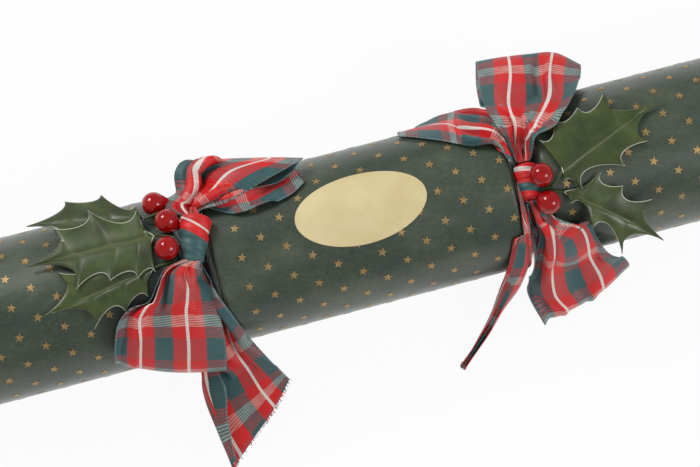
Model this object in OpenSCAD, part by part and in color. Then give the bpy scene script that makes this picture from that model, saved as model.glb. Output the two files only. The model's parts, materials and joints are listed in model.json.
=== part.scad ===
// Christmas cracker lying on a table, with a ribbon bow and a sprig of holly at each choke.
// X runs along the cracker, Z is up, and the origin is on the table under the middle of the barrel.

/* [Cracker] */
// Outside diameter of the paper-wrapped tubes
cracker_d = 55; // [48:0.5:62]
// Length of the barrel between its two rims
barrel_len = 103; // [90:1:120]
// Width of the choke between the barrel's rim and an end's rim
choke_gap = 11; // [10:0.5:13]
// Length of each end beyond its choke
end_len = 115; // [95:1:130]
// Outside diameter of the gathered paper at the choke
neck_d = 16; // [14:0.5:18]

/* [Paper and card] */
// Thickness of the wrapping paper
paper_t = 0.3; // [0.2:0.05:0.4]
// Wall of the card tubes
card_t = 0.9; // [0.6:0.1:1.4]
// Gap between a card tube and the paper round it
paper_clear = 0.15; // [0.1:0.05:0.3]
// Gap at the tear line between the barrel's paper and an end's paper
tear_gap = 0.3; // [0.2:0.1:0.5]
// Radius of the paper where it turns over a tube's rim
rim_fold = 1.2; // [1:0.1:1.5]

/* [Label] */
// Length of the oval label
label_len = 45; // [36:1:56]
// Width of the oval label, measured round the barrel
label_w = 25; // [18:1:30]
// Thickness of the label
label_t = 0.25; // [0.15:0.05:0.4]

/* [Ribbon] */
// Width of the ribbon
ribbon_w = 38; // [30:1:42]
// Thickness of the ribbon's solid
ribbon_t = 0.5; // [0.4:0.05:0.6]
// Deepest pleat of the gathered ribbon
pleat_depth = 0.9; // [0.5:0.1:1.2]
// Width of the ribbon band round the neck
band_w = 6; // [5:0.25:6.5]
// Thickness of the ribbon band round the neck
band_t = 1.3; // [0.9:0.1:1.5]
// Diameter of the left bow's knot
left_knot_d = 9.2; // [8.4:0.2:9.6]
// Diameter of the right bow's knot
right_knot_d = 8; // [7.4:0.2:8.2]
// Length of a knot
knot_len = 13; // [12:0.5:14]

/* [Holly] */
// Thickness of a holly leaf
leaf_t = 0.6; // [0.4:0.05:0.7]
// Gap between a leaf and what lies under it
leaf_gap = 0.4; // [0.3:0.05:0.5]
// Diameter of a berry
berry_d = 8; // [7:0.25:8.5]
// Diameter of the wire stems
stem_d = 1; // [0.8:0.1:1.1]

/* [Snap] */
// Width of the snap's card strips
strip_w = 9; // [7:0.5:10]
// Thickness of a card strip
strip_t = 0.4; // [0.3:0.05:0.5]
// Length over which the two strips lie on each other
strip_overlap = 24; // [18:1:30]
// Length of the paper sleeve round the overlap
sleeve_len = 30; // [24:1:36]
// Length of the friction charge on each side of the overlap
charge_len = 8; // [6:1:10]

/* [Contents] */
// Length of the folded paper crown
crown_len = 62; // [50:1:70]
// Thickness of the folded paper crown
crown_t = 2.2; // [1.5:0.1:3]
// Length of the motto slip
motto_len = 70; // [56:1:76]
// Thickness of the motto slip
motto_t = 0.25; // [0.2:0.05:0.4]
// Diameter of the spinning top
top_d = 20; // [14:1:22]
// Length of the spinning top's body
top_len = 14; // [10:1:18]
// Length of the spinning top's stem
top_stem_len = 11; // [8:1:14]
// Diameter of the spinning top's stem
top_stem_d = 3; // [2:0.25:4]

/* [Hidden] */
$fn = 96;

// Running clearance of a piece that is glued or laid against another
seat = 0.1;
// Clearance of a loose piece inside a tube
loose = 0.3;
// Length by which a cutting shape passes the face that it cuts
overrun = 1;

// The cracker's radius, the height of its axis and half of the barrel
body_r = cracker_d / 2;
axis_z = body_r;
barrel_half = barrel_len / 2;
choke_x = barrel_half + choke_gap / 2;
end_start = barrel_half + choke_gap;
end_stop = end_start + end_len;
// Inner faces of the paper, then of the card
paper_in_r = body_r - paper_t;
card_out_r = paper_in_r - paper_clear;
card_in_r = card_out_r - card_t;
// The paper turns over a rim as far as this radius
rim_r = body_r - rim_fold;
// The neck and what is tied round it
neck_r = neck_d / 2;
neck_bend = 0.3;
band_in_r = neck_r + seat;
band_out_r = band_in_r + band_t;
// Sideways lean of the gathered paper between a rim and the neck
gather_lean_share = 0.16;
gather_lean = choke_gap * gather_lean_share;

// Points of an arc in a profile, where a profile's point is [radius, place along X]
arc_steps = 6;
function arc_points(centre, r, from, to) =
    [for (i = [0 : arc_steps]) let (a = from + (to - from) * i / arc_steps)
        centre + r * [cos(a), sin(a)]];
function flip_x(points) = [for (p = points) [p[0], -p[1]]];
function reversed(list) = [for (i = [len(list) - 1 : -1 : 0]) list[i]];

// Turns a profile about the cracker's axis
module about_axis(points) {
    translate([0, 0, axis_z]) rotate([0, 90, 0]) rotate_extrude() polygon(points);
}

// A plain tube along X between two places
module tube_x(from, to, in_r, out_r) {
    about_axis([[in_r, from], [out_r, from], [out_r, to], [in_r, to]]);
}

module barrel_tube() {
    color("tan") tube_x(-barrel_half + rim_fold, barrel_half - rim_fold, card_in_r, card_out_r);
}

// The paper on the barrel, turned over the card's rims as far as the tear lines
module barrel_wrapper() {
    turn = [rim_r, barrel_half - rim_fold];
    outside = arc_points(turn, rim_fold, 0, 90);
    inside = arc_points(turn, rim_fold - paper_t, 90, 0);
    half_skin = concat(outside, inside);
    color("darkslategray") about_axis(concat(half_skin, flip_x(reversed(half_skin))));
}

// One end's paper: a gathered disc at the tear line, the neck, a second disc and the end's skin
module wrapper_end(side) {
    tear_x = barrel_half + tear_gap;
    near_neck = tear_x + gather_lean;
    far_rim = end_start - tear_gap;
    far_neck = far_rim - gather_lean;
    turn = [rim_r, end_start - tear_gap + rim_fold];
    exposed = concat(
        [[rim_r - seat, tear_x + paper_t], [neck_r + neck_bend, near_neck + paper_t],
         [neck_r, near_neck + paper_t + neck_bend], [neck_r, far_neck - paper_t - neck_bend],
         [neck_r + neck_bend, far_neck - paper_t]],
        arc_points(turn, rim_fold, -90, 0),
        [[body_r, end_stop]]);
    neck_in_r = neck_r - paper_t;
    hidden = concat(
        [[paper_in_r, end_stop]],
        arc_points(turn, rim_fold - paper_t, 0, -90),
        [[neck_in_r + neck_bend, far_neck], [neck_in_r, far_neck - neck_bend],
         [neck_in_r, near_neck + neck_bend], [neck_in_r + neck_bend, near_neck],
         [rim_r - seat, tear_x]]);
    skin = concat(exposed, hidden);
    color("darkslategray") about_axis(side > 0 ? skin : flip_x(skin));
}

module end_tube(side) {
    near = end_start - tear_gap + rim_fold;
    from = side > 0 ? near : -end_stop;
    to = side > 0 ? end_stop : -near;
    color("tan") tube_x(from, to, card_in_r, card_out_r);
}

// Oval label, bent round the top of the barrel
label_points = 60;
module label() {
    half_chord = body_r * sin(label_w / 2 / body_r * 180 / PI);
    oval = [for (i = [0 : label_points - 1]) let (a = 360 * i / label_points)
        [label_len / 2 * cos(a), half_chord * sin(a)]];
    color("palegoldenrod") intersection() {
        tube_x(-label_len, label_len, body_r + seat / 2, body_r + seat / 2 + label_t);
        translate([0, 0, axis_z]) linear_extrude(cracker_d) polygon(oval);
    }
}

// The bow round each choke. A knot is a short crowned drum that lies across the choke, on a
// gathered throat that comes up from the band round the neck. The right knot is narrow enough
// to sit between the rims, and the left one is turned and rests above them.
// Places in a bow are shares of the cracker's radius: [along X from the choke, Y, height].
left_knot_share = [0.03, 0.1, 2.06];
right_knot_share = [-0.01, -0.19, 1.85];
left_knot_turn = -18;
right_knot_turn = 0;
knot_end_share = 0.86;
throat_share = [0.17, 0.25];
function knot_r(side) = (side < 0 ? left_knot_d : right_knot_d) / 2;
function knot_turn(side) = side < 0 ? left_knot_turn : right_knot_turn;
function placed(side, share) = [side * choke_x, 0, 0] + body_r * share;
function knot_centre(side) = placed(side, side < 0 ? left_knot_share : right_knot_share);

module bow_band(side) {
    color("firebrick") tube_x(side * choke_x - band_w / 2, side * choke_x + band_w / 2,
                              band_in_r, band_out_r);
}

module bow_knot(side) {
    r = knot_r(side);
    sag = r * (1 - knot_end_share);
    bulge_r = (knot_len * knot_len / 4 + sag * sag) / (2 * sag);
    centre = knot_centre(side);
    throat_h = centre[2] - axis_z - band_out_r - seat;
    color("firebrick") translate(centre) {
        rotate([90, 0, knot_turn(side)]) rotate_extrude() intersection() {
            translate([r - bulge_r, 0]) circle(bulge_r, $fn = 180);
            translate([0, -knot_len / 2]) square([r, knot_len]);
        }
        translate([0, 0, -throat_h / 2])
            cube([body_r * throat_share[0], body_r * throat_share[1], throat_h], center = true);
    }
}

// Smooth curve through a list of points, at place s counted in list steps
function curve_step(a, b, c, d, t) =
    (2 * b + (c - a) * t + (2 * a - 5 * b + 4 * c - d) * t * t + (3 * b - a - 3 * c + d) * t * t * t) / 2;
function curve_at(list, s) =
    let (last = len(list) - 1, i = min(floor(s), last - 1))
    curve_step(i == 0 ? 2 * list[0] - list[1] : list[i - 1], list[i], list[i + 1],
               i + 2 > last ? 2 * list[last] - list[last - 1] : list[i + 2], s - i);

// A ribbon keeps this far from the axis: it lies on the tubes and dips only into the choke
shoulder_run = 1.4;
dip_slope = 3;
function rest_radius(x, gap) =
    let (into = max(0, choke_gap / 2 - shoulder_run - abs(x)))
    max(band_out_r + gap, body_r + gap - dip_slope * into);
function laid(p, gap) =
    let (dy = p[1], dz = p[2] - axis_z, r = norm([dy, dz]), low = rest_radius(p[0], gap),
         k = r < low ? low / r : 1)
    [p[0], dy * k, max(axis_z + dz * k, ribbon_t)];

// Gap between a knot's end face and the first row of a ribbon
face_gap = 0.4;
// Width of a ribbon's first row as a share of the knot's end face
face_spread_share = 0.72;
// The row of points at which a ribbon leaves a knot's end face, at a height above its middle
function face_row(side, face, level_share, count) =
    let (r = knot_r(side), half = r * knot_end_share * face_spread_share,
         c = knot_centre(side), a = knot_turn(side),
         out = face * (knot_len / 2 + face_gap))
    [for (i = [0 : count - 1]) let (x = half * (2 * i / (count - 1) - 1))
        [c[0] - side * choke_x + x * cos(a) - out * sin(a), c[1] + x * sin(a) + out * cos(a),
         c[2] + level_share * r]];
function rows_of(shares) = [for (row = shares) [for (p = row) p * body_r]];

// Grid of a ribbon's middle surface: pleats are deep where the ribbon is drawn in, and they run
// out towards the knot
root_taper_share = 8;
function ribbon_grid(rows, cells, pleats, gap_from, gap_to) =
    let (across = cells[0], along = cells[1], count = len(rows[0]) - 1, steps = len(rows) - 1,
         base = [for (j = [0 : along]) let (s = steps * j / along)
             [for (i = [0 : across]) curve_at([for (row = rows) curve_at(row, count * i / across)], s)]])
    [for (j = [0 : along])
        let (line = base[j], chord = norm(line[across] - line[0]),
             t = j / along, root = min(1, root_taper_share * t, root_taper_share * (1 - t)),
             deep = pleat_depth * root * pow(max(0, 1 - chord / ribbon_w), 2),
             gap = gap_from + (gap_to - gap_from) * min(1, max(0, 3 * t - 1)))
        [for (i = [0 : across])
            laid(line[i] + grid_normal(base, i, j) * deep * sin(360 * pleats * i / across),
                 gap)]];

function grid_normal(g, i, j) =
    let (rows = len(g) - 1, cols = len(g[0]) - 1,
         du = g[j][min(i + 1, cols)] - g[j][max(i - 1, 0)],
         dv = g[min(j + 1, rows)][i] - g[max(j - 1, 0)][i],
         n = cross(du, dv), size = norm(n))
    size > 0 ? n / size : [0, 0, 1];

// Closed thin solid of a ribbon, from the grid of its middle surface
module ribbon_solid(side, g) {
    rows = len(g);
    cols = len(g[0]);
    shell = [for (face = [-1, 1]) for (j = [0 : rows - 1]) for (i = [0 : cols - 1])
        g[j][i] + face * ribbon_t / 2 * grid_normal(g, i, j)];
    count = rows * cols;
    function at(face, j, i) = face * count + j * cols + i;
    flat_faces = [for (face = [0, 1]) for (j = [0 : rows - 2]) for (i = [0 : cols - 2])
        let (a = at(face, j, i), b = at(face, j, i + 1), c = at(face, j + 1, i + 1), d = at(face, j + 1, i))
        each face == 1 ? [[a, c, b], [a, d, c]] : [[a, b, c], [a, c, d]]];
    edge_j = concat([for (i = [0 : cols - 1]) [0, i]], [for (j = [1 : rows - 1]) [j, cols - 1]],
                    [for (i = [cols - 2 : -1 : 0]) [rows - 1, i]], [for (j = [rows - 2 : -1 : 1]) [j, 0]]);
    rim_faces = [for (k = [0 : len(edge_j) - 1])
        let (p = edge_j[k], q = edge_j[(k + 1) % len(edge_j)],
             a = at(0, p[0], p[1]), b = at(0, q[0], q[1]), c = at(1, q[0], q[1]), d = at(1, p[0], p[1]))
        each [[a, c, b], [a, d, c]]];
    color("firebrick") translate([side * choke_x, 0, 0])
        polyhedron(shell, concat(flat_faces, rim_faces), convexity = 8);
}

// Pieces across and along a loop and a tail, and the height at which each layer rests
loop_cells = [10, 26];
tail_cells = [10, 20];
loop_top_gap = 4.2;
loop_under_gap = 2.6;
tail_rest_gap = 1;
// Heights of the three layers on a knot's end face, as shares of its radius
top_layer_share = 0.5;
under_layer_share = -0.1;
tail_layer_share = -0.6;

module loop(side, face, shares) {
    rows = concat([face_row(side, face, top_layer_share, 5)], rows_of(shares),
                  [face_row(side, face, under_layer_share, 5)]);
    ribbon_solid(side, ribbon_grid(rows, loop_cells, 2, loop_top_gap, loop_under_gap));
}

module tail(side, face, shares) {
    rows = concat([face_row(side, face, tail_layer_share, len(shares[0]))], rows_of(shares));
    ribbon_solid(side, ribbon_grid(rows, tail_cells, 2, tail_rest_gap, tail_rest_gap));
}

// Each row crosses the ribbon from its left selvedge to its right one, as seen from above
left_loop_upper_shares = [
    [[-0.14, 0.55, 1.90], [-0.05, 0.58, 1.98], [0.02, 0.58, 1.86], [0.10, 0.51, 1.99], [0.18, 0.42, 2.00]],
    [[-0.03, 0.80, 1.71], [0.13, 0.78, 1.91], [0.23, 0.82, 1.72], [0.39, 0.65, 2.00], [0.50, 0.47, 1.98]],
    [[0.10, 1.05, 1.75], [0.22, 1.02, 1.90], [0.33, 0.98, 1.82], [0.71, 0.81, 2.05], [1.05, 0.62, 2.03]],
    [[0.24, 1.15, 1.71], [0.50, 1.07, 1.86], [0.80, 0.98, 1.93], [1.16, 0.87, 1.97], [1.51, 0.77, 1.95]],
    [[0.25, 1.18, 1.58], [0.51, 1.10, 1.68], [0.82, 1.01, 1.76], [1.17, 0.91, 1.82], [1.52, 0.80, 1.85]],
    [[0.16, 0.98, 1.48], [0.42, 0.87, 1.60], [0.68, 0.76, 1.71], [0.95, 0.66, 1.80], [1.22, 0.56, 1.87]],
    [[0.06, 0.78, 1.50], [0.20, 0.72, 1.66], [0.36, 0.64, 1.78], [0.52, 0.56, 1.86], [0.68, 0.50, 1.90]],
    [[-0.12, 0.56, 1.76], [-0.04, 0.56, 1.78], [0.03, 0.55, 1.76], [0.10, 0.52, 1.80], [0.15, 0.48, 1.84]]
];
left_loop_lower_shares = [
    [[-0.38, -0.17, 2.15], [-0.35, -0.19, 2.15], [-0.30, -0.22, 2.15], [-0.14, -0.26, 2.13], [-0.01, -0.27, 1.94]],
    [[-0.52, -0.33, 2.11], [-0.48, -0.36, 2.11], [-0.40, -0.37, 2.12], [-0.15, -0.43, 2.08], [0.06, -0.43, 1.82]],
    [[-0.68, -0.49, 2.05], [-0.62, -0.51, 2.05], [-0.49, -0.54, 2.05], [-0.19, -0.58, 2.00], [0.08, -0.59, 1.74]],
    [[-1.03, -0.58, 2.00], [-0.84, -0.60, 2.02], [-0.56, -0.66, 1.97], [-0.24, -0.72, 1.92], [0.10, -0.76, 1.66]],
    [[-1.19, -0.82, 1.82], [-0.93, -0.88, 1.80], [-0.63, -0.95, 1.68], [-0.31, -1.03, 1.61], [0.08, -1.09, 1.42]],
    [[-1.25, -0.99, 1.63], [-1.01, -1.08, 1.50], [-0.72, -1.17, 1.35], [-0.39, -1.25, 1.24], [0.02, -1.32, 1.20]],
    [[-1.25, -0.98, 1.50], [-1.01, -1.06, 1.33], [-0.72, -1.15, 1.16], [-0.39, -1.23, 1.04], [0.00, -1.31, 1.00]],
    [[-1.09, -0.85, 1.68], [-0.85, -0.92, 1.58], [-0.61, -0.99, 1.48], [-0.36, -1.04, 1.36], [-0.04, -1.08, 1.24]],
    [[-0.77, -0.68, 1.86], [-0.58, -0.74, 1.80], [-0.42, -0.80, 1.74], [-0.24, -0.84, 1.66], [-0.01, -0.83, 1.46]],
    [[-0.44, -0.47, 1.94], [-0.32, -0.50, 1.90], [-0.22, -0.52, 1.84], [-0.12, -0.54, 1.76], [0.02, -0.54, 1.70]],
    [[-0.24, -0.26, 1.98], [-0.18, -0.30, 1.97], [-0.11, -0.33, 1.92], [-0.05, -0.35, 1.88], [0.02, -0.36, 1.84]]
];
left_tail_front_shares = [
    [[-0.04, -0.36, 1.68], [-0.10, -0.36, 1.64], [-0.02, -0.37, 1.64], [0.06, -0.36, 1.68], [0.13, -0.34, 1.72]],
    [[-0.02, -0.70, 1.42], [-0.10, -0.70, 1.38], [0.00, -0.72, 1.38], [0.10, -0.70, 1.50], [0.20, -0.68, 1.72]],
    [[-0.16, -1.10, 0.98], [-0.24, -1.08, 0.88], [-0.06, -1.13, 0.98], [0.15, -1.12, 1.14], [0.37, -1.05, 1.32]],
    [[-0.06, -1.50, 0.92], [-0.35, -1.44, 0.80], [-0.04, -1.44, 0.82], [0.27, -1.40, 0.95], [0.57, -1.37, 1.10]],
    [[-0.14, -1.90, 0.72], [-0.31, -1.90, 0.58], [0.02, -1.78, 0.62], [0.36, -1.65, 0.76], [0.67, -1.52, 0.92]],
    [[-0.18, -2.36, 0.50], [-0.21, -2.42, 0.38], [0.16, -2.12, 0.52], [0.47, -1.88, 0.70], [0.73, -1.61, 0.87]]
];
left_tail_back_shares = [
    [[-0.10, 0.56, 1.42], [0.02, 0.56, 1.45], [0.15, 0.44, 1.66]],
    [[0.30, 0.88, 1.52], [0.45, 0.62, 1.82], [0.60, 0.32, 2.02]],
    [[0.62, 0.99, 1.30], [0.79, 0.66, 1.78], [0.94, 0.31, 2.00]],
    [[0.95, 1.03, 1.05], [1.14, 0.79, 1.64], [1.27, 0.37, 1.98]],
    [[1.20, 1.03, 0.90], [1.38, 0.86, 1.58], [1.49, 0.50, 1.92]]
];
right_loop_upper_shares = [
    [[-0.09, 0.28, 1.80], [-0.01, 0.30, 1.86], [0.04, 0.30, 1.76], [0.09, 0.27, 1.86], [0.14, 0.20, 1.78]],
    [[-0.18, 0.58, 1.92], [0.00, 0.53, 2.00], [0.17, 0.47, 1.88], [0.32, 0.41, 2.00], [0.53, 0.42, 1.98]],
    [[-0.25, 0.93, 1.80], [-0.02, 0.82, 1.97], [0.36, 0.75, 1.80], [0.56, 0.71, 1.90], [0.87, 0.71, 1.78]],
    [[-0.20, 1.31, 1.60], [0.14, 1.23, 1.75], [0.46, 1.15, 1.68], [0.68, 1.09, 1.70], [1.06, 1.04, 1.50]],
    [[-0.13, 1.60, 1.38], [0.22, 1.52, 1.53], [0.53, 1.48, 1.50], [0.85, 1.43, 1.46], [1.14, 1.24, 1.35]],
    [[-0.12, 1.62, 1.20], [0.23, 1.55, 1.32], [0.54, 1.50, 1.30], [0.85, 1.44, 1.26], [1.13, 1.24, 1.18]],
    [[-0.20, 1.30, 1.25], [0.10, 1.22, 1.38], [0.38, 1.18, 1.33], [0.60, 1.12, 1.32], [0.95, 1.05, 1.25]],
    [[-0.22, 0.95, 1.40], [0.00, 0.90, 1.50], [0.22, 0.85, 1.52], [0.42, 0.85, 1.53], [0.70, 0.85, 1.54]],
    [[-0.10, 0.60, 1.82], [0.00, 0.56, 1.78], [0.10, 0.52, 1.74], [0.19, 0.50, 1.76], [0.30, 0.48, 1.84]],
    [[-0.12, 0.30, 1.72], [-0.05, 0.30, 1.69], [0.02, 0.30, 1.68], [0.08, 0.28, 1.69], [0.13, 0.26, 1.70]]
];
right_loop_lower_shares = [
    [[-0.06, -0.50, 1.74], [-0.01, -0.50, 1.80], [0.03, -0.50, 1.70], [0.06, -0.50, 1.76], [0.09, -0.50, 1.76]],
    [[-0.03, -0.64, 1.56], [0.06, -0.66, 1.68], [0.14, -0.68, 1.58], [0.18, -0.68, 1.72], [0.22, -0.70, 1.82]],
    [[0.00, -0.80, 1.42], [0.11, -0.84, 1.62], [0.30, -0.88, 1.52], [0.49, -0.86, 1.68], [0.58, -0.88, 1.64]],
    [[-0.11, -1.03, 1.10], [0.05, -1.15, 1.16], [0.35, -1.13, 0.95], [0.60, -1.13, 1.18], [0.78, -1.10, 1.22]],
    [[-0.20, -1.22, 0.75], [0.04, -1.42, 0.80], [0.40, -1.36, 0.64], [0.73, -1.31, 0.82], [1.03, -1.20, 0.90]],
    [[-0.10, -1.62, 0.46], [0.17, -1.60, 0.56], [0.48, -1.53, 0.50], [0.77, -1.44, 0.57], [1.12, -1.27, 0.66]],
    [[-0.10, -1.60, 0.28], [0.17, -1.57, 0.36], [0.48, -1.50, 0.32], [0.77, -1.41, 0.38], [1.10, -1.24, 0.46]],
    [[-0.20, -1.22, 0.50], [0.04, -1.25, 0.52], [0.34, -1.20, 0.42], [0.62, -1.16, 0.52], [0.90, -1.10, 0.62]],
    [[-0.06, -1.03, 0.98], [0.06, -1.05, 1.00], [0.25, -1.03, 0.86], [0.44, -1.03, 1.00], [0.62, -1.02, 1.10]],
    [[-0.05, -0.70, 1.42], [0.04, -0.74, 1.40], [0.11, -0.76, 1.36], [0.20, -0.76, 1.60], [0.34, -0.80, 1.64]],
    [[-0.10, -0.50, 1.54], [-0.04, -0.50, 1.52], [0.02, -0.50, 1.51], [0.08, -0.50, 1.53], [0.13, -0.52, 1.56]]
];
right_tail_front_shares = [
    [[-0.17, -0.10, 1.40], [-0.175, -0.10, 1.47], [-0.17, -0.10, 1.54]],
    [[-0.17, -0.35, 1.40], [-0.175, -0.35, 1.48], [-0.17, -0.35, 1.56]],
    [[-0.17, -0.60, 1.36], [-0.17, -0.62, 1.52], [-0.10, -0.62, 1.48]],
    [[-0.32, -0.77, 1.66], [-0.21, -0.80, 1.64], [-0.13, -0.84, 1.30]],
    [[-0.43, -1.00, 1.35], [-0.28, -1.06, 1.40], [-0.17, -1.00, 0.95]],
    [[-0.57, -1.20, 0.87], [-0.47, -1.26, 1.00], [-0.32, -1.18, 0.50]],
    [[-0.71, -1.38, 0.42], [-0.66, -1.43, 0.62], [-0.56, -1.35, 0.20]],
    [[-0.93, -1.62, 0.18], [-0.89, -1.64, 0.33], [-0.85, -1.60, 0.06]],
    [[-1.21, -1.88, 0.06], [-1.21, -1.90, 0.10], [-1.16, -1.86, 0.03]]
];
right_tail_back_shares = [
    [[-0.16, 0.26, 1.47], [-0.11, 0.34, 1.42], [-0.05, 0.40, 1.37]],
    [[-0.35, 0.31, 2.00], [-0.29, 0.55, 1.88], [-0.19, 0.78, 1.64]],
    [[-0.59, 0.41, 1.97], [-0.53, 0.70, 1.76], [-0.42, 0.96, 1.36]],
    [[-0.80, 0.54, 1.88], [-0.72, 0.94, 1.42], [-0.62, 1.01, 0.80]],
    [[-1.07, 0.70, 1.76], [-1.00, 1.02, 1.18], [-0.90, 0.91, 0.52]],
    [[-1.35, 0.86, 1.57], [-1.22, 1.03, 0.95], [-1.05, 0.79, 0.34]]
];

module right_tail_front() {
    ribbon_solid(1, ribbon_grid(rows_of(right_tail_front_shares), tail_cells, 1,
                                tail_rest_gap, tail_rest_gap));
}

// Holly leaf outlines as seen from above: the tips of the spines as [along X from the choke, Y]
// in shares of the radius, starting at the leaf's base
spine_steps = 8;
// Between two spines the edge runs straight inwards and then hooks round to the spine nearer the
// leaf's base. The hook is drawn with two points, each given as a share along the line between
// the spines and a share of its length into the leaf.
hook_far_share = [0.42, 0.34];
hook_near_share = [0.98, 0.48];
leaf_bend_share = 1.8;
left_leaf_back_shares = [[-0.47, 0.545], [-0.57, 0.75], [-0.94, 1.05], [-1.39, 1.09], [-1.90, 0.87],
                         [-1.52, 0.61], [-1.09, 0.57], [-0.74, 0.48]];
left_leaf_lower_shares = [[-0.52, -0.10], [-0.80, 0.16], [-1.18, 0.24], [-1.64, 0.14], [-1.95, -0.34],
                          [-1.37, -0.62], [-0.97, -0.52], [-0.66, -0.43]];
left_leaf_front_shares = [[-0.42, 0.28], [-0.55, 0.69], [-1.13, 0.85], [-1.57, 0.70], [-1.97, 0.30],
                          [-1.47, -0.13], [-1.05, -0.13], [-0.73, -0.19], [-0.51, -0.16]];
right_leaf_upper_shares = [[0.40, -0.22], [0.24, 0.24], [0.49, 0.48], [0.81, 0.53], [1.18, 0.64],
                           [1.76, 0.34], [1.50, -0.12], [1.15, -0.34], [0.58, -0.48], [0.37, -0.35]];
right_leaf_lower_shares = [[0.36, -0.44], [0.85, -0.33], [1.07, -0.55], [1.39, -0.78], [1.45, -1.25],
                           [0.90, -1.28], [0.60, -0.92], [0.40, -0.60]];

// The back leaf's hooks are shallower than the others'
left_leaf_back_hook_share = 0.5;
full_hook_share = 1;

// Which spine of each outline is the leaf's tip
left_leaf_back_tip = 4;
left_leaf_lower_tip = 4;
left_leaf_front_tip = 4;
right_leaf_upper_tip = 5;
right_leaf_lower_tip = 4;

// The two edges that meet at the leaf's base are hollowed a little towards the leaf's middle
base_hollow_share = 0.16;
function bezier(a, b, c, d, t) =
    (1 - t) * (1 - t) * (1 - t) * a + 3 * t * (1 - t) * (1 - t) * b + 3 * t * t * (1 - t) * c + t * t * t * d;
function mean_of(points) = [for (p = points) 1] * points / len(points);
// Points of one edge from its spine nearer the tip towards its spine nearer the base
function hooked(far, near, middle, depth) =
    let (run = near - far, across = [-run[1], run[0]], inward = across * (middle - far) > 0 ? across : -across,
         c1 = far + run * hook_far_share[0] + inward * hook_far_share[1] * depth,
         c2 = far + run * hook_near_share[0] + inward * hook_near_share[1] * depth)
    [for (i = [0 : spine_steps]) bezier(far, c1, c2, near, i / spine_steps)];
function hollowed(a, b, middle) =
    let (chord = (a + b) / 2, c = chord + (middle - chord) * base_hollow_share * min(1, 2 * norm(b - a)))
    [for (i = [0 : spine_steps]) bezier(a, c, c, b, i / spine_steps)];
function leaf_outline(spines, tip, hook_share) =
    let (count = len(spines), middle = mean_of(spines))
    [for (k = [0 : count - 1])
        let (a = spines[k], b = spines[(k + 1) % count], by_base = k == 0 || k == count - 1,
             edge = by_base ? hollowed(a, b, middle)
                  : k < tip ? hooked(b, a, middle, hook_share) : hooked(a, b, middle, hook_share))
        for (i = [0 : spine_steps - 1])
            body_r * (k < tip && !by_base ? edge[spine_steps - i] : edge[i])];

// A leaf is a thin bent plate that rides over the tube, in the given layer of the sprig
leaf_bend_r = body_r * leaf_bend_share;
function leaf_low(layer) = cracker_d + leaf_gap + layer * (leaf_t + leaf_gap);
module leaf(side, shares, tip, layer, hook_share = full_hook_share) {
    color("darkolivegreen") translate([side * choke_x, 0, 0]) intersection() {
        translate([0, 0, leaf_low(layer) - leaf_bend_r]) rotate([0, 90, 0]) difference() {
            cylinder(h = 2 * end_len, r = leaf_bend_r + leaf_t, center = true);
            cylinder(h = 2 * end_len + overrun, r = leaf_bend_r, center = true);
        }
        translate([0, 0, axis_z]) linear_extrude(cracker_d) polygon(leaf_outline(shares, tip, hook_share));
    }
}

// Berries rest on the end's rim, round the knot. Two stand off the side of their knot, and the
// left back one lies next round the tube from the middle one, with room for a stem between them.
berry_rest_r = body_r + berry_d / 2 + loose;
berry_gap = 1.3;
left_knot_clear = 0.3;
right_knot_clear = 0.7;
left_berry_front_share = 0.073;
left_berry_middle_share = [-0.229, 0.42];
left_berry_back_rim_share = 0.474;
right_berry_upper_share = -0.208;
right_berry_lower_share = [0.133, -0.535];
function berry_at(x, y) = [x, y, axis_z + sqrt(berry_rest_r * berry_rest_r - y * y)];
function berry_on_rim(side, share) = berry_at(side * choke_x + share[0] * body_r, share[1] * body_r);
function berry_by_knot(side, y_share, clear) =
    let (y = y_share * body_r, c = knot_centre(side), rise = berry_at(0, y)[2] - c[2],
         reach = knot_r(side) + berry_d / 2 + clear,
         away = sqrt(max(0, reach * reach - rise * rise)) / cos(knot_turn(side)))
    berry_at(c[0] - (y - c[1]) * tan(knot_turn(side)) + side * away, y);
function berry_next(x, y) =
    let (turn = asin(y / berry_rest_r) + 2 * asin((berry_d + berry_gap) / 2 / berry_rest_r))
    berry_at(x, berry_rest_r * sin(turn));
left_berry_front_centre = berry_by_knot(-1, left_berry_front_share, left_knot_clear);
left_berry_middle_centre = berry_on_rim(-1, left_berry_middle_share);
left_berry_back_x = -choke_x - choke_gap / 2 - left_berry_back_rim_share * berry_d;
left_berry_back_centre = berry_next(left_berry_back_x, left_berry_middle_centre[1]);
right_berry_upper_centre = berry_by_knot(1, right_berry_upper_share, right_knot_clear);
right_berry_lower_centre = berry_on_rim(1, right_berry_lower_share);
berry_neck_share = 0.25;
long_neck_share = 1.3;
mid_neck_share = 1.15;
short_neck_share = 1.08;

// The sphere has a short neck, given as a way [X, Y, Z] and a reach in shares of the radius
module berry(centre, way, reach_share) {
    r = berry_d / 2;
    color("crimson") translate(centre) union() {
        sphere(r);
        rotate([0, acos(way[2] / norm(way)), atan2(way[1], way[0])])
            cylinder(h = r * reach_share, r = r * berry_neck_share);
    }
}
berry_back_way = [1, 0, 0];
berry_middle_way = [0.7, -0.6, -0.25];
berry_front_way = [0.75, 0, -0.66];
berry_upper_way = [-0.44, 0.06, -0.9];
berry_lower_way = [0.1, 0.75, -0.6];

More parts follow.
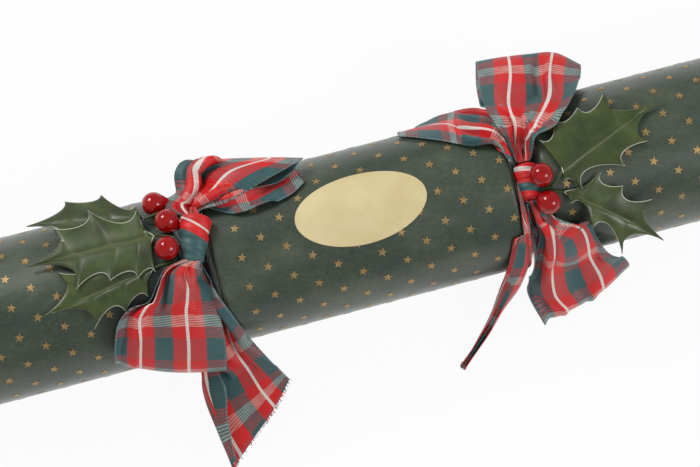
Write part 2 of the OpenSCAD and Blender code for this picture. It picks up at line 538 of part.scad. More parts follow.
// Wire stems: straight runs with a bend between them, through places in shares of the radius
bend_ball_share = 1.5;
module stem(path) {
    color("darkgreen") {
        for (k = [0 : len(path) - 2]) let (way = path[k + 1] - path[k])
            translate(path[k]) rotate([0, acos(way[2] / norm(way)), atan2(way[1], way[0])])
                cylinder(h = norm(way), d = stem_d, $fn = 24);
        for (k = [1 : 1 : len(path) - 2])
            translate(path[k]) rotate([0, 0, 90]) sphere(d = stem_d * bend_ball_share, $fn = 24);
    }
}
function route(side, shares) = [for (p = shares) placed(side, p)];
function over_leaf(side, share, layer) =
    let (y = share[1] * body_r, top_r = leaf_bend_r + leaf_t)
    [side * choke_x + share[0] * body_r, y,
     leaf_low(layer) - leaf_bend_r + sqrt(top_r * top_r - y * y) + stem_d / 2 + seat];
left_stem_start_share = [-0.495, 0.542];
left_stem_leaf_back_path = [over_leaf(-1, left_stem_start_share, 0),
                            (left_berry_back_centre + left_berry_middle_centre) / 2];
left_stem_leaf_lower_shares = [[-0.505, -0.1, 2.075], [-0.25, -0.08, 2.055]];
left_stem_leaf_front_shares = [[-0.405, 0.28, 2.095], [-0.185, 0.2, 2.075]];
berry_wire_top_share = [0.66, 0, -0.23];
berry_wire_foot_share = [0.66, 0, -0.86];
left_stem_berry_path = [left_berry_back_centre + berry_d * berry_wire_top_share,
                        left_berry_back_centre + berry_d * berry_wire_foot_share];
right_stem_leaf_upper_shares = [[0.385, -0.22, 2.065], [0.236, -0.349, 2.044], [0.105, -0.349, 1.978]];
right_stem_leaf_lower_shares = [[0.345, -0.44, 1.972], [0.24, -0.405, 1.975]];

// The snap: two card strips that overlap in a paper sleeve and are glued inside the ends' tubes
glue_start_share = 0.38;
glue_stop_share = 0.68;
module snap_strip(side) {
    inner = -strip_overlap / 2;
    neck_stop = end_start;
    glue_from = end_start + end_len * glue_start_share;
    glue_to = end_start + end_len * glue_stop_share;
    level = side * (strip_t / 2 + seat / 2);
    roof = sqrt(card_in_r * card_in_r - strip_w * strip_w / 4) - strip_t / 2 - seat;
    path = [[inner, level], [neck_stop, level], [glue_from, roof], [glue_to, roof]];
    up = [for (p = path) p + [0, strip_t / 2]];
    down = [for (p = reversed(path)) p - [0, strip_t / 2]];
    color("wheat") translate([0, 0, axis_z]) mirror([side < 0 ? 1 : 0, 0, 0]) rotate([90, 0, 0])
        linear_extrude(strip_w, center = true) polygon(concat(up, down));
}

module snap_sleeve() {
    in_h = 2 * strip_t + seat + 2 * loose;
    in_w = strip_w + 2 * loose;
    color("lightyellow") translate([0, 0, axis_z]) difference() {
        cube([sleeve_len, in_w + 2 * paper_t, in_h + 2 * paper_t], center = true);
        cube([sleeve_len + overrun, in_w, in_h], center = true);
    }
}

// The charge is a thin dab on each strip's outer face, so that the strips can slide apart
charge_t = 0.15;
module snap_charge(side) {
    level = side * (strip_t + seat / 2 + charge_t / 2);
    place = side * (strip_overlap / 2 - charge_len);
    color("dimgray") translate([-place, 0, axis_z + level])
        cube([charge_len, strip_w / 2, charge_t], center = true);
}

// A plate bent against the inside of the barrel, from one angle to another away from the bottom
module bent_plate(len_x, thick, from, to) {
    out_r = card_in_r - loose;
    wide = to - from;
    translate([0, 0, axis_z]) rotate([0, 90, 0]) rotate([0, 0, from])
        translate([0, 0, -len_x / 2]) rotate_extrude(angle = wide)
            translate([out_r - thick, 0]) square([thick, len_x]);
}

crown_from_turn = -82;
crown_to_turn = -32;
crown_points = 4;
crown_point_share = 0.14;
module paper_crown() {
    point_len = crown_len * crown_point_share;
    step = (crown_to_turn - crown_from_turn) / crown_points;
    notch_w = card_in_r * sin(step) / 2;
    color("mediumpurple") difference() {
        bent_plate(crown_len, crown_t, crown_from_turn, crown_to_turn);
        for (k = [0 : crown_points])
            translate([crown_len / 2, 0, axis_z]) rotate([crown_from_turn + k * step, 0, 0])
                rotate([180, 0, 0]) linear_extrude(card_in_r)
                    polygon([[overrun, -notch_w], [overrun, notch_w], [-point_len, 0]]);
    }
}

motto_from_turn = 32;
motto_to_turn = 84;
module motto_slip() {
    color("ivory") bent_plate(motto_len, motto_t, motto_from_turn, motto_to_turn);
}

// The spinning top lies on the bottom of the barrel, with its stem along X
top_x_share = 0.12;
top_tip_share = 0.1;
top_rim_share = 0.3;
module top_place() {
    translate([barrel_len * top_x_share, 0, axis_z - card_in_r + loose + top_d / 2]) rotate([0, -90, 0])
        children();
}
module top_body() {
    r = top_d / 2;
    color("goldenrod") top_place() rotate_extrude()
        polygon([[0, 0], [r * top_tip_share, 0], [r, top_len * (1 - 2 * top_rim_share)],
                 [r, top_len * (1 - top_rim_share)], [r * top_rim_share, top_len], [0, top_len]]);
}
module top_stem() {
    color("goldenrod") top_place() translate([0, 0, top_len]) cylinder(h = top_stem_len, d = top_stem_d);
}

barrel_tube();
barrel_wrapper();
label();
wrapper_end(-1);  // left_wrapper_end
end_tube(-1);  // left_end_tube
bow_band(-1);  // left_bow_band
bow_knot(-1);  // left_bow_knot
loop(-1, 1, left_loop_upper_shares);  // left_loop_upper
loop(-1, -1, left_loop_lower_shares);  // left_loop_lower
tail(-1, -1, left_tail_front_shares);  // left_tail_front
tail(-1, 1, left_tail_back_shares);  // left_tail_back
leaf(-1, left_leaf_back_shares, left_leaf_back_tip, 0, left_leaf_back_hook_share);  // left_leaf_back
leaf(-1, left_leaf_lower_shares, left_leaf_lower_tip, 1);  // left_leaf_lower
leaf(-1, left_leaf_front_shares, left_leaf_front_tip, 2);  // left_leaf_front
stem(left_stem_leaf_back_path);  // left_stem_leaf_back
stem(route(-1, left_stem_leaf_lower_shares));  // left_stem_leaf_lower
stem(route(-1, left_stem_leaf_front_shares));  // left_stem_leaf_front
stem(left_stem_berry_path);  // left_stem_berry
berry(left_berry_back_centre, berry_back_way, long_neck_share);  // left_berry_back
berry(left_berry_middle_centre, berry_middle_way, mid_neck_share);  // left_berry_middle
berry(left_berry_front_centre, berry_front_way, short_neck_share);  // left_berry_front
snap_strip(-1);  // snap_strip_left
snap_sleeve();
snap_charge(-1);  // snap_charge_left
wrapper_end(1);  // right_wrapper_end
end_tube(1);  // right_end_tube
bow_band(1);  // right_bow_band
bow_knot(1);  // right_bow_knot
loop(1, 1, right_loop_upper_shares);  // right_loop_upper
loop(1, -1, right_loop_lower_shares);  // right_loop_lower
right_tail_front();
tail(1, 1, right_tail_back_shares);  // right_tail_back
leaf(1, right_leaf_upper_shares, right_leaf_upper_tip, 1);  // right_leaf_upper
leaf(1, right_leaf_lower_shares, right_leaf_lower_tip, 0);  // right_leaf_lower
stem(route(1, right_stem_leaf_upper_shares));  // right_stem_leaf_upper
stem(route(1, right_stem_leaf_lower_shares));  // right_stem_leaf_lower
berry(right_berry_upper_centre, berry_upper_way, short_neck_share);  // right_berry_upper
berry(right_berry_lower_centre, berry_lower_way, short_neck_share);  // right_berry_lower
snap_strip(1);  // snap_strip_right
snap_charge(1);  // snap_charge_right
paper_crown();
motto_slip();
top_body();
top_stem();
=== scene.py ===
# %% [markdown]
# # A Christmas cracker
#
# A card tube in three lengths is rolled in dark green paper with small gold stars, drawn in at two
# chokes. A tartan bow and a sprig of holly are tied over each choke. The CAD model gives every
# solid its real place, so this script loads it first, never moves it, and dresses it with paper,
# foil stars, cloth ribbons, pressed leaves and lacquered berries.
#
# Lengths are in millimetres up to the moment a mesh is made.

# %% Load the frame
import json
import math
import random

import bpy
import numpy as np
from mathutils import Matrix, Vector

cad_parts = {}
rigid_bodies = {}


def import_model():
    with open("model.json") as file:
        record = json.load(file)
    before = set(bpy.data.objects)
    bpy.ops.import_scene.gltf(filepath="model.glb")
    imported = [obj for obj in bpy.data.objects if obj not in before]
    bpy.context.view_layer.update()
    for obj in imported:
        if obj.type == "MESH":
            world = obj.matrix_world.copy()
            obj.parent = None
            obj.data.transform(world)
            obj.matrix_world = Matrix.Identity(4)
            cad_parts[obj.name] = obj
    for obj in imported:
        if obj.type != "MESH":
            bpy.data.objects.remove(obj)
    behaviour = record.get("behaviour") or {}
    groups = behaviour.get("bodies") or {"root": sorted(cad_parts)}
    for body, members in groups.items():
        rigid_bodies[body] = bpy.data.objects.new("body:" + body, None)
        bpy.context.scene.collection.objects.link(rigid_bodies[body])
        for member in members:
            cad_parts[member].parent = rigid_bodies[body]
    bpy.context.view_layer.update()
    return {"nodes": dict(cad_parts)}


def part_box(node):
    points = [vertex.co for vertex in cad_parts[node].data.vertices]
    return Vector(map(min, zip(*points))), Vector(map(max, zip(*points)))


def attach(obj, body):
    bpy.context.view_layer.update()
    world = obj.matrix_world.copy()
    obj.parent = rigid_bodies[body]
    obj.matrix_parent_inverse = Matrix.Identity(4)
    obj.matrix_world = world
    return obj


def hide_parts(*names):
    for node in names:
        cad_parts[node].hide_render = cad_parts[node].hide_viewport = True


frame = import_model()
MM = 0.001


def cad_box_mm(node):
    low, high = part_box(node)
    return np.array(low) / MM, np.array(high) / MM


# %% [markdown]
# ## Sizes taken from the frame
#
# The radius of the paper tubes, the height of their axis and the places of the rims come from the
# solids. Places in a bow are shares of that radius, as in the part's own source.

# %% Driving sizes
barrel_low, barrel_high = cad_box_mm("barrel_wrapper")
band_low, band_high = cad_box_mm("right_bow_band")
R = (barrel_high[2] - barrel_low[2]) / 2
AXIS_Z = (barrel_high[2] + barrel_low[2]) / 2
BARREL_HALF = barrel_high[0]
CHOKE_X = (band_low[0] + band_high[0]) / 2
CHOKE_HALF = CHOKE_X - BARREL_HALF
END_STOP = cad_box_mm("right_wrapper_end")[1][0]
BAND_R = (band_high[2] - band_low[2]) / 2
PAPER_T = 0.3
RIM_FOLD = 1.2
TEAR_GAP = 0.3
RIBBON_W = 38.0
TURN = 2 * math.pi
BODIES = {-1: "left_end", 0: "barrel", 1: "right_end"}
SIDES = {-1: "left", 1: "right"}
print("radius", round(R, 2), "choke at", round(CHOKE_X, 2), "neck band radius", round(BAND_R, 2))

# %% [markdown]
# ## Helpers for meshes
#
# A mesh is made from points and faces, with its object at the origin. A side is -1 for the left
# end, 1 for the right end and 0 for the barrel. Most pieces are grids: rows of points joined by
# faces, open, or closed on themselves in one or both directions.

# %% Mesh helpers


def make_piece(name, points, faces, finish, side, node, uv=None):
    mesh = bpy.data.meshes.new(name)
    mesh.from_pydata([tuple(float(c) * MM for c in p) for p in points], [], faces)
    mesh.validate()
    if uv is not None:
        layer = mesh.uv_layers.new(name="cloth")
        for loop in mesh.loops:
            layer.data[loop.index].uv = uv[loop.vertex_index]
    mesh.materials.append(finish.material)
    mesh.polygons.foreach_set("use_smooth", [True] * len(mesh.polygons))
    piece = bpy.data.objects.new(name, mesh)
    bpy.context.scene.collection.objects.link(piece)
    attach(piece, BODIES[side])
    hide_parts(node)
    return piece


def grid_faces(rows, cols, across=False, along=False, flipped=False):
    """Faces between rows of points, closed on themselves across or along where that is set."""
    faces = []
    for j in range(rows if along else rows - 1):
        for i in range(cols if across else cols - 1):
            k, low, high = (i + 1) % cols, j * cols, (j + 1) % rows * cols
            quad = (low + i, low + k, high + k, high + i)
            faces.append(quad[::-1] if flipped else quad)
    return faces


def capped_faces(rows, cols, flipped=False):
    """Faces of a closed tube of rings with a cap on each end."""
    caps = [tuple(range(cols))[::-1], tuple((rows - 1) * cols + i for i in range(cols))]
    caps = [cap[::-1] if flipped else cap for cap in caps]
    return grid_faces(rows, cols, True, False, flipped) + caps


def stiffen(piece, name, thickness):
    solid = piece.modifiers.new(name, "SOLIDIFY")
    solid.thickness = thickness * MM
    solid.offset = 0


# %% [markdown]
# ## Building materials
#
# A finish is a small tree of nodes, written as a recipe of short calls. A node's output is kept as
# a value, and adding or multiplying values adds math nodes. Colours are three bytes, as they look
# on a screen, and are changed to the linear values that a socket takes.

# %% Node helpers


def rgba(colour):
    """Three bytes, or one linear grey, as the four linear values of a colour socket."""
    if isinstance(colour, (int, float)):
        return (colour, colour, colour, 1.0)
    if len(colour) == 4:
        return colour
    shares = [byte / 255 for byte in colour]
    return (*[v / 12.92 if v <= 0.04045 else ((v + 0.055) / 1.055) ** 2.4 for v in shares], 1.0)


def put(tree, socket, value):
    """Links a value to a socket, or sets the socket to a plain number or colour."""
    value = getattr(value, "socket", value)
    if isinstance(value, bpy.types.NodeSocket):
        tree.links.new(value, socket)
    else:
        socket.default_value = rgba(value) if socket.type == "RGBA" else value


class Value:
    """The output of a node. A sum of values adds math nodes to their tree."""

    def __init__(self, tree, socket):
        self.tree, self.socket = tree, socket

    def math(self, operation, *others):
        made = self.tree.nodes.new("ShaderNodeMath")
        made.operation = operation
        for socket, value in zip(made.inputs, (self, *others)):
            put(self.tree, socket, value)
        return Value(self.tree, made.outputs[0])

    def __add__(self, other):
        return self.math("ADD", other)

    def __sub__(self, other):
        return self.math("SUBTRACT", other)

    def __mul__(self, other):
        return self.math("MULTIPLY", other)

    def __truediv__(self, other):
        return self.math("DIVIDE", other)


class Nodes:
    """A tree of nodes, with short ways to add to it."""

    def __init__(self, tree):
        self.tree = tree

    def add(self, kind, *feeds, **values):
        """Adds a node. Each named value goes to the setting or socket of that name, and the feeds
        go to the first sockets."""
        made = self.tree.nodes.new(kind)
        for key, value in values.items():
            if hasattr(made, key):
                setattr(made, key, value)
            else:
                put(self.tree, made.inputs[key.replace("_", " ")], value)
        for socket, value in zip(made.inputs, feeds):
            put(self.tree, socket, value)
        return made

    def value(self, kind, *feeds, output=0, **values):
        return Value(self.tree, self.add(kind, *feeds, **values).outputs[output])

    def axes(self, vector):
        return [Value(self.tree, out) for out in self.add("ShaderNodeSeparateXYZ", vector).outputs]


class Finish(Nodes):
    """A material and the recipe of its nodes."""

    def __init__(self, name, roughness=0.5, **sockets):
        self.material = bpy.data.materials.new(name)
        self.material.use_nodes = True
        super().__init__(self.material.node_tree)
        self.shader = self.tree.nodes["Principled BSDF"]
        self.feed(Roughness=roughness, **sockets)

    def feed(self, **sockets):
        for socket, value in sockets.items():
            put(self.tree, self.shader.inputs[socket.replace("_", " ")], value)

    def place(self, stretch=(1, 1, 1)):
        raw = self.value("ShaderNodeTexCoord", output="Object")
        return self.value("ShaderNodeMapping", raw, Scale=stretch)

    def noise(self, scale, detail=3.0, stretch=(1, 1, 1), rough=0.5):
        return self.value("ShaderNodeTexNoise", self.place(stretch), output="Fac", Scale=scale,
                          Detail=detail, Roughness=rough)

    def ramp(self, source, *stops, constant=False):
        made = self.add("ShaderNodeValToRGB", source)
        made.color_ramp.interpolation = "CONSTANT" if constant else "LINEAR"
        elements = made.color_ramp.elements
        while len(elements) < len(stops):
            elements.new(0.5)
        for element, (position, colour) in zip(elements, stops):
            element.position = position
            element.color = rgba(colour)
        return Value(self.tree, made.outputs["Color"])

    def mix(self, factor, first, second, blend="MIX"):
        made = self.add("ShaderNodeMix", data_type="RGBA", blend_type=blend)
        for socket, value in ((0, factor), (6, first), (7, second)):
            put(self.tree, made.inputs[socket], value)
        return Value(self.tree, made.outputs[2])

    def rough(self, source, low, high):
        self.feed(Roughness=self.value("ShaderNodeMapRange", source, To_Min=low, To_Max=high))

    def bump(self, source, strength, distance):
        self.feed(Normal=self.value("ShaderNodeBump", Strength=strength, Distance=distance * MM,
                                    Height=source))


# %% [markdown]
# ## The paper
#
# The wrapping is thin dark green paper with a satin face, a little uneven in soft cloudy patches.
# A sheen lobe makes it shine pale where it is seen at a grazing angle.

# %% Paper finish
paper = Finish("wrapping_paper_satin", 0.4, Sheen_Weight=1.0, Sheen_Roughness=0.28,
               Sheen_Tint=(214, 220, 216), Coat_Weight=0.25, Coat_Roughness=0.25)
clouds = paper.noise(34.0, 5.0, (1.0, 1.5, 1.5), 0.65)
fibres = paper.noise(900.0, 2.0, (0.75, 1.0, 1.0))
cloudy = paper.ramp(clouds, (0.32, (40, 55, 44)), (0.5, (55, 70, 55)), (0.68, (80, 90, 72)))
fibrous = paper.ramp(fibres, (0.3, (28, 38, 30)), (0.7, (106, 116, 98)))
speckled = paper.ramp(paper.noise(2600.0, 2.0), (0.35, 0.45), (0.65, 1))
paper.feed(Base_Color=paper.mix(0.3, paper.mix(0.14, cloudy, fibrous), speckled, "MULTIPLY"))
paper.rough(clouds, 0.34, 0.5)
paper.bump(fibres, 0.2, 0.04)
print("made", paper.material.name)

# %% [markdown]
# ## The paper skins and their pleats
#
# On the real cracker one sheet is rolled round all three tubes. Where the string pulls it in, it
# turns over the rim and gathers into many small sharp pleats that deepen towards the neck. Each
# skin here is its CAD profile turned about the axis as a closed shell. The pleats push the points
# of the drawn-in face along the axis by a wave whose pleats differ in width.

# %% Profiles and pleats
PLEAT_DEEP = 0.5
NECK_WAVE = 0.22
RIM_WAVE = 0.16
RIM_RUN = 9.0
WAVE_TOP = 0.65
TURN_STEPS = 288


def arc(centre, radius, start, stop, steps=6):
    turn = np.radians(np.linspace(start, stop, steps + 1))
    return [(centre[0] + radius * math.cos(a), centre[1] + radius * math.sin(a)) for a in turn]


def run(first, last, steps):
    first, way = np.array(first), np.array(last) - np.array(first)
    return [tuple(first + way * k / steps) for k in range(steps + 1)]


def pleat_wave(turn, seed):
    drift = np.random.default_rng(seed)
    phase = turn * 31 + 1.6 * np.sin(3 * turn + drift.uniform(0, 6))
    phase = phase + 1.1 * np.sin(7 * turn + drift.uniform(0, 6))
    sharp = WAVE_TOP * (1 - 2 * np.abs(np.sin(phase / 2)))
    return sharp + 0.35 * np.sin(13 * turn + drift.uniform(0, 6))


def rim_wave(turn, from_rim, seed):
    """A soft wave of the radius that dies out a short way from the rim."""
    near_rim = max(0.0, 1 - from_rim / RIM_RUN)
    return RIM_WAVE * near_rim ** 2 * (pleat_wave(turn, seed) - WAVE_TOP)


def turned_skin(name, node, side, profile, pleat_of):
    turn = np.arange(TURN_STEPS) * TURN / TURN_STEPS
    points = []
    for radius, x in profile:
        dr, dx = pleat_of(radius, x, turn)
        ring = radius + dr
        points.extend(zip(x + dx, ring * np.sin(turn), AXIS_Z + ring * np.cos(turn)))
    faces = grid_faces(len(profile), TURN_STEPS, across=True, along=True)
    return make_piece(name, points, faces, paper, side, node)


# %% The barrel's paper
rim_r = R - RIM_FOLD
barrel_turn = (rim_r, BARREL_HALF - RIM_FOLD)
outer_half = arc(barrel_turn, RIM_FOLD, 90, 0, 8)
inner_half = arc(barrel_turn, RIM_FOLD - PAPER_T, 0, 90, 8)


def mirrored(half):
    return [(r, -x) for r, x in reversed(half)]


straight = run((R, BARREL_HALF - 2), (R, -BARREL_HALF + 2), 26)
barrel_profile = outer_half + straight + mirrored(outer_half) + mirrored(inner_half) + inner_half


def barrel_pleats(radius, x, turn):
    return rim_wave(turn, BARREL_HALF - abs(x), 5 if x < 0 else 6), 0 * turn


paper_barrel = turned_skin("paper_barrel", "barrel_wrapper", 0, barrel_profile, barrel_pleats)
print("barrel skin points", len(paper_barrel.data.vertices))

# %% The two ends' paper
tear_x = BARREL_HALF + TEAR_GAP
far_rim = BARREL_HALF + 2 * CHOKE_HALF - TEAR_GAP
NECK_IN = 1.4
NEAR_RIM_IN, FAR_RIM_IN = 0.1, 1.5
LEAN_SHARE = 0.16
BEND = 0.3
neck_r = BAND_R - NECK_IN
LEAN = 2 * CHOKE_HALF * LEAN_SHARE


def end_profile(side):
    turn_at = (rim_r, far_rim + RIM_FOLD)
    near, far = tear_x + LEAN, far_rim - LEAN
    shown = run((rim_r - NEAR_RIM_IN, tear_x + PAPER_T), (neck_r + BEND, near + PAPER_T), 12)
    shown += run((neck_r, near + PAPER_T + BEND), (neck_r, far - PAPER_T - BEND), 5)
    shown += run((neck_r + BEND, far - PAPER_T), (rim_r - FAR_RIM_IN, far_rim - LEAN * 0.1), 12)
    shown += arc(turn_at, RIM_FOLD, -90, 0, 8) + run((R, turn_at[1] + 1), (R, END_STOP), 30)
    inside_r = neck_r - PAPER_T
    hidden = [(R - PAPER_T, END_STOP)] + arc(turn_at, RIM_FOLD - PAPER_T, 0, -90, 6)
    hidden += [(inside_r + BEND, far), (inside_r, far - BEND), (inside_r, near + BEND),
               (inside_r + BEND, near), (rim_r - NEAR_RIM_IN, tear_x)]
    profile = shown + hidden
    return profile[::-1] if side > 0 else [(r, -x) for r, x in profile]


def end_pleats(radius, x, turn):
    seed = 8 if x < 0 else 9
    if abs(x) > far_rim + 0.2 and radius > rim_r:
        return rim_wave(turn, abs(x) - far_rim, seed), 0 * turn
    if radius <= neck_r + 0.01:
        return NECK_WAVE * (pleat_wave(turn, seed) - WAVE_TOP), 0 * turn
    depth = PLEAT_DEEP * max(0.0, 1 - (radius - neck_r) / (rim_r - neck_r)) ** 0.6
    inward = -1 if abs(x) > CHOKE_X else 1
    return 0 * turn, math.copysign(1, x) * inward * depth * 0.5 * (1 + pleat_wave(turn, seed))


for side, name in SIDES.items():
    skin = turned_skin(f"paper_{name}_end", f"{name}_wrapper_end", side, end_profile(side),
                       end_pleats)
print("end skin points", len(skin.data.vertices))

# %% [markdown]
# ## The gold stars
#
# The print is a lattice of small five-pointed stars: columns along the cracker, every second one
# moved by half a step. A lattice is a rule, so Geometry Nodes lay it. They make one thin star,
# work out each star's column and row from its index, wrap that place round the tube and set the
# star flat on the paper.

# %% Gold finish
gold = Finish("star_gold_foil", 0.4, Metallic=0.6)
gold_grain = gold.noise(1400.0, 2.0)
gold.feed(Base_Color=gold.ramp(gold_grain, (0.25, (146, 118, 72)), (0.75, (190, 160, 108))))
gold.rough(gold_grain, 0.34, 0.5)

# %% A tree for the star lattice
STAR_PITCH = 7.6
STARS_ROUND = 17
STAR_R = 1.66
STAR_INNER_SHARE = 0.42
STAR_T = 0.05


class Tree(Nodes):
    """A tree of geometry nodes. Its inputs are named with the kind of their socket."""

    def __init__(self, name, **inputs):
        super().__init__(bpy.data.node_groups.new(name, "GeometryNodeTree"))
        new_socket = self.tree.interface.new_socket
        new_socket("Geometry", in_out="OUTPUT", socket_type="NodeSocketGeometry")
        new_socket("Geometry", in_out="INPUT", socket_type="NodeSocketGeometry")
        self.ids = {}
        for key, kind in inputs.items():
            made = new_socket(key.replace("_", " "), in_out="INPUT",
                              socket_type="NodeSocket" + kind)
            self.ids[key] = made.identifier
        self.start = self.tree.nodes.new("NodeGroupInput")
        self.end = self.tree.nodes.new("NodeGroupOutput")

    def __getitem__(self, label):
        return Value(self.tree, self.start.outputs[label])

    def finish(self, geometry, material):
        real = self.value("GeometryNodeRealizeInstances", geometry)
        dressed = self.value("GeometryNodeSetMaterial", real, Material=material)
        put(self.tree, self.end.inputs[0], dressed)

    def run(self, name, side, slot, points=((0, 0, 0),), edges=(), **values):
        mesh = bpy.data.meshes.new(name + "_seed")
        mesh.from_pydata([tuple(p) for p in points], edges, [])
        seed = bpy.data.objects.new(name + "_seed", mesh)
        bpy.context.scene.collection.objects.link(seed)
        modifier = seed.modifiers.new("tree", "NODES")
        modifier.node_group = self.tree
        for key, value in values.items():
            modifier[self.ids[key]] = value
        graph = bpy.context.evaluated_depsgraph_get()
        made = bpy.data.meshes.new_from_object(seed.evaluated_get(graph))
        made.name = name
        bpy.data.objects.remove(seed)
        piece = bpy.data.objects.new(name, made)
        bpy.context.scene.collection.objects.link(piece)
        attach(piece, BODIES[side])
        return piece


stars = Tree("star_lattice", Tube_radius="Float", Axis_height="Float", First_column="Float",
             Columns="Int", Pitch="Float", Stars_round="Int", Star_radius="Float",
             Thickness="Float", Half_turn="Int", Turn_shift="Float", Foil="Material")
outline = stars.value("GeometryNodeCurveStar", Points=5, Outer_Radius=stars["Star radius"],
                      Inner_Radius=stars["Star radius"] * STAR_INNER_SHARE)
flat_star = stars.value("GeometryNodeFillCurve", outline)
lifted = stars.value("GeometryNodeExtrudeMesh", flat_star, Offset_Scale=stars["Thickness"])
both = stars.add("GeometryNodeJoinGeometry", lifted)
put(stars.tree, both.inputs[0], stars.value("GeometryNodeFlipFaces", flat_star))
star = stars.value("GeometryNodeMergeByDistance", both.outputs[0], Distance=0.000001)

per_round, tube_r = stars["Stars round"], stars["Tube radius"]
places = stars.value("GeometryNodePoints", stars["Columns"] * per_round)
index = stars.value("GeometryNodeInputIndex")
column = (index / per_round).math("FLOOR")
row = index - column * per_round
step = row + (column + stars["Half turn"]).math("MODULO", 2.0) * 0.5
turn = step * TURN / per_round + stars["Turn shift"]
along = stars["First column"] + column * stars["Pitch"]
height = stars["Axis height"] + tube_r * turn.math("COSINE")
place = stars.value("ShaderNodeCombineXYZ", along, tube_r * turn.math("SINE"), height)
tilt = stars.value("ShaderNodeCombineXYZ", turn * -1.0)
moved = stars.value("GeometryNodeSetPosition", places, Position=place)
laid_out = stars.value("GeometryNodeInstanceOnPoints", moved, Instance=star, Rotation=tilt)
stars.finish(laid_out, stars["Foil"])

# %% Lay the stars
STAR_LIFT = 0.03
STAR_MARGIN = 2.6


def star_print(name, side, low, high, known_x, known_arc):
    """Fills the run from low to high, so that one star lies at known_x and known_arc."""
    before = math.floor((known_x - low) / STAR_PITCH)
    first = known_x - before * STAR_PITCH
    return stars.run(name, side, "wrapping_paper", Tube_radius=(R + STAR_LIFT) * MM,
                     Axis_height=AXIS_Z * MM, First_column=first * MM,
                     Columns=int((high - first) / STAR_PITCH) + 1, Pitch=STAR_PITCH * MM,
                     Stars_round=STARS_ROUND, Star_radius=STAR_R * MM, Thickness=STAR_T * MM,
                     Half_turn=before % 2, Turn_shift=known_arc / R, Foil=gold.material)


barrel_run = BARREL_HALF - STAR_MARGIN
barrel_stars = star_print("stars_barrel", 0, -BARREL_HALF + STAR_MARGIN, barrel_run, -4.3, -1.3)
end_first = BARREL_HALF + 2 * CHOKE_HALF + STAR_MARGIN
star_print("stars_right_end", 1, end_first, END_STOP - STAR_MARGIN, 99.0, 0.4)
star_print("stars_left_end", -1, -END_STOP + STAR_MARGIN, -end_first, -104.3, -3.4)
print("stars on the barrel have", len(barrel_stars.data.polygons), "faces")

# %% [markdown]
# ## The label
#
# An oval of pale gold paper is stuck on top of the barrel and left bare. The finish mixes two
# close golds by a slow noise and keeps a fine grain in the bump.

# %% Label finish
gilt = Finish("label_pale_gold", 0.34, Metallic=0.25, Sheen_Weight=0.15, Coat_Weight=0.15)
label_cloud = gilt.noise(60.0, 3.0)
label_grain = gilt.noise(1600.0, 2.0)
bloom = gilt.ramp(label_cloud, (0.3, (220, 198, 138)), (0.7, (238, 222, 172)))
grainy = gilt.ramp(label_grain, (0.3, (200, 172, 116)), (0.7, (255, 246, 220)))
gilt.feed(Base_Color=gilt.mix(0.1, bloom, grainy))
gilt.rough(label_cloud, 0.3, 0.42)
gilt.bump(label_grain, 0.2, 0.04)


def dress(node, finish):
    slots = frame["nodes"][node].data.materials
    slots.clear()
    slots.append(finish.material)


dress("label", gilt)

# %% [markdown]
# ## The tartan
#
# The ribbon is a taffeta of coloured threads. The warp gives the stripes across its width and the
# weft the bars along its length. The warp lies closer, so it gives most of the colour, and the
# weft shows between its threads as fine ribs. The finish holds two colour ramps, one on each UV
# axis, and mixes them by a pattern of threads. A wide teal band runs down the middle, with a red,
# a thin white and another red stripe on each side.

# %% Ribbon finish
WEFT_REPEAT = 22.4
TEAL = (58, 96, 98)
RED = (224, 30, 30)
PALE = (240, 230, 222)
BAR = (226, 228, 216)
SELVEDGE = (120, 156, 162)
THREAD_PITCH = 0.86
STITCH_PITCH = 0.7
PALE_FROM, PALE_TO = 0.262, 0.290
ribbon = Finish("ribbon_tartan", 0.5, Sheen_Weight=0.08, Sheen_Roughness=0.4)
width_share, along_mm, _ = ribbon.axes(ribbon.value("ShaderNodeUVMap", uv_map="cloth"))
mirror_share = width_share.math("PINGPONG", 0.5)
warp = ribbon.ramp(mirror_share, (0.0, TEAL), (0.14, RED), (PALE_FROM, PALE), (PALE_TO, RED),
                   (0.413, TEAL), constant=True)
bar_share = (along_mm / WEFT_REPEAT).math("FRACT")
weft = ribbon.ramp(bar_share, (0.0, TEAL), (0.43, RED), (0.62, BAR), (0.81, RED), constant=True)
across_turn = width_share * (RIBBON_W * TURN / THREAD_PITCH)
along_turn = along_mm * (TURN / THREAD_PITCH)
twill = (across_turn * 0.12 + along_turn).math("SINE")
rib = (along_turn * 1.5).math("SINE")
slub = ribbon.noise(320.0, 3.0)
woven = ribbon.mix(twill * 0.17 + slub * 0.3 + 0.1, warp, weft)
is_pale = ribbon.ramp(mirror_share, (0.0, 0), (PALE_FROM, 1), (PALE_TO, 0), constant=True)
striped = ribbon.mix(is_pale * (twill * 0.12 + 0.72), woven, PALE)
at_edge = ribbon.ramp(mirror_share, (0.0, 1), (0.010, 0), constant=True)
stitch_on = (along_mm * (TURN / STITCH_PITCH)).math("SINE").math("GREATER_THAN", 0.0)
stitched = ribbon.mix(at_edge * (stitch_on * 0.7), striped, SELVEDGE)
shade = ribbon.ramp(twill * 0.3 + slub, (0.15, 0.5), (0.75, 1))
ribbon.feed(Base_Color=ribbon.mix(0.45, stitched, shade, "MULTIPLY"))
ribbon.rough(slub, 0.42, 0.58)
ribbon.bump(rib * 0.5 + twill, 0.35, 0.04)
print("ribbon repeat", WEFT_REPEAT, "mm along,", RIBBON_W, "mm wide")

# %% [markdown]
# ## How a ribbon is laid
#
# Each loop or tail is one sheet. Its stations are rows of a few points that cross the ribbon from
# selvedge to selvedge, from the knot's end face out over the loop and back. A smooth curve through
# them both ways gives the cloth. Where the rows are short the cloth is gathered, so its points are
# pushed off the surface in pleats. A point inside a tube is moved straight out until it rests on
# the paper.

# %% Smooth rows and rest rule
RIBBON_T = 0.5
SHOULDER_RUN = 1.4
DIP_SLOPE = 3.0


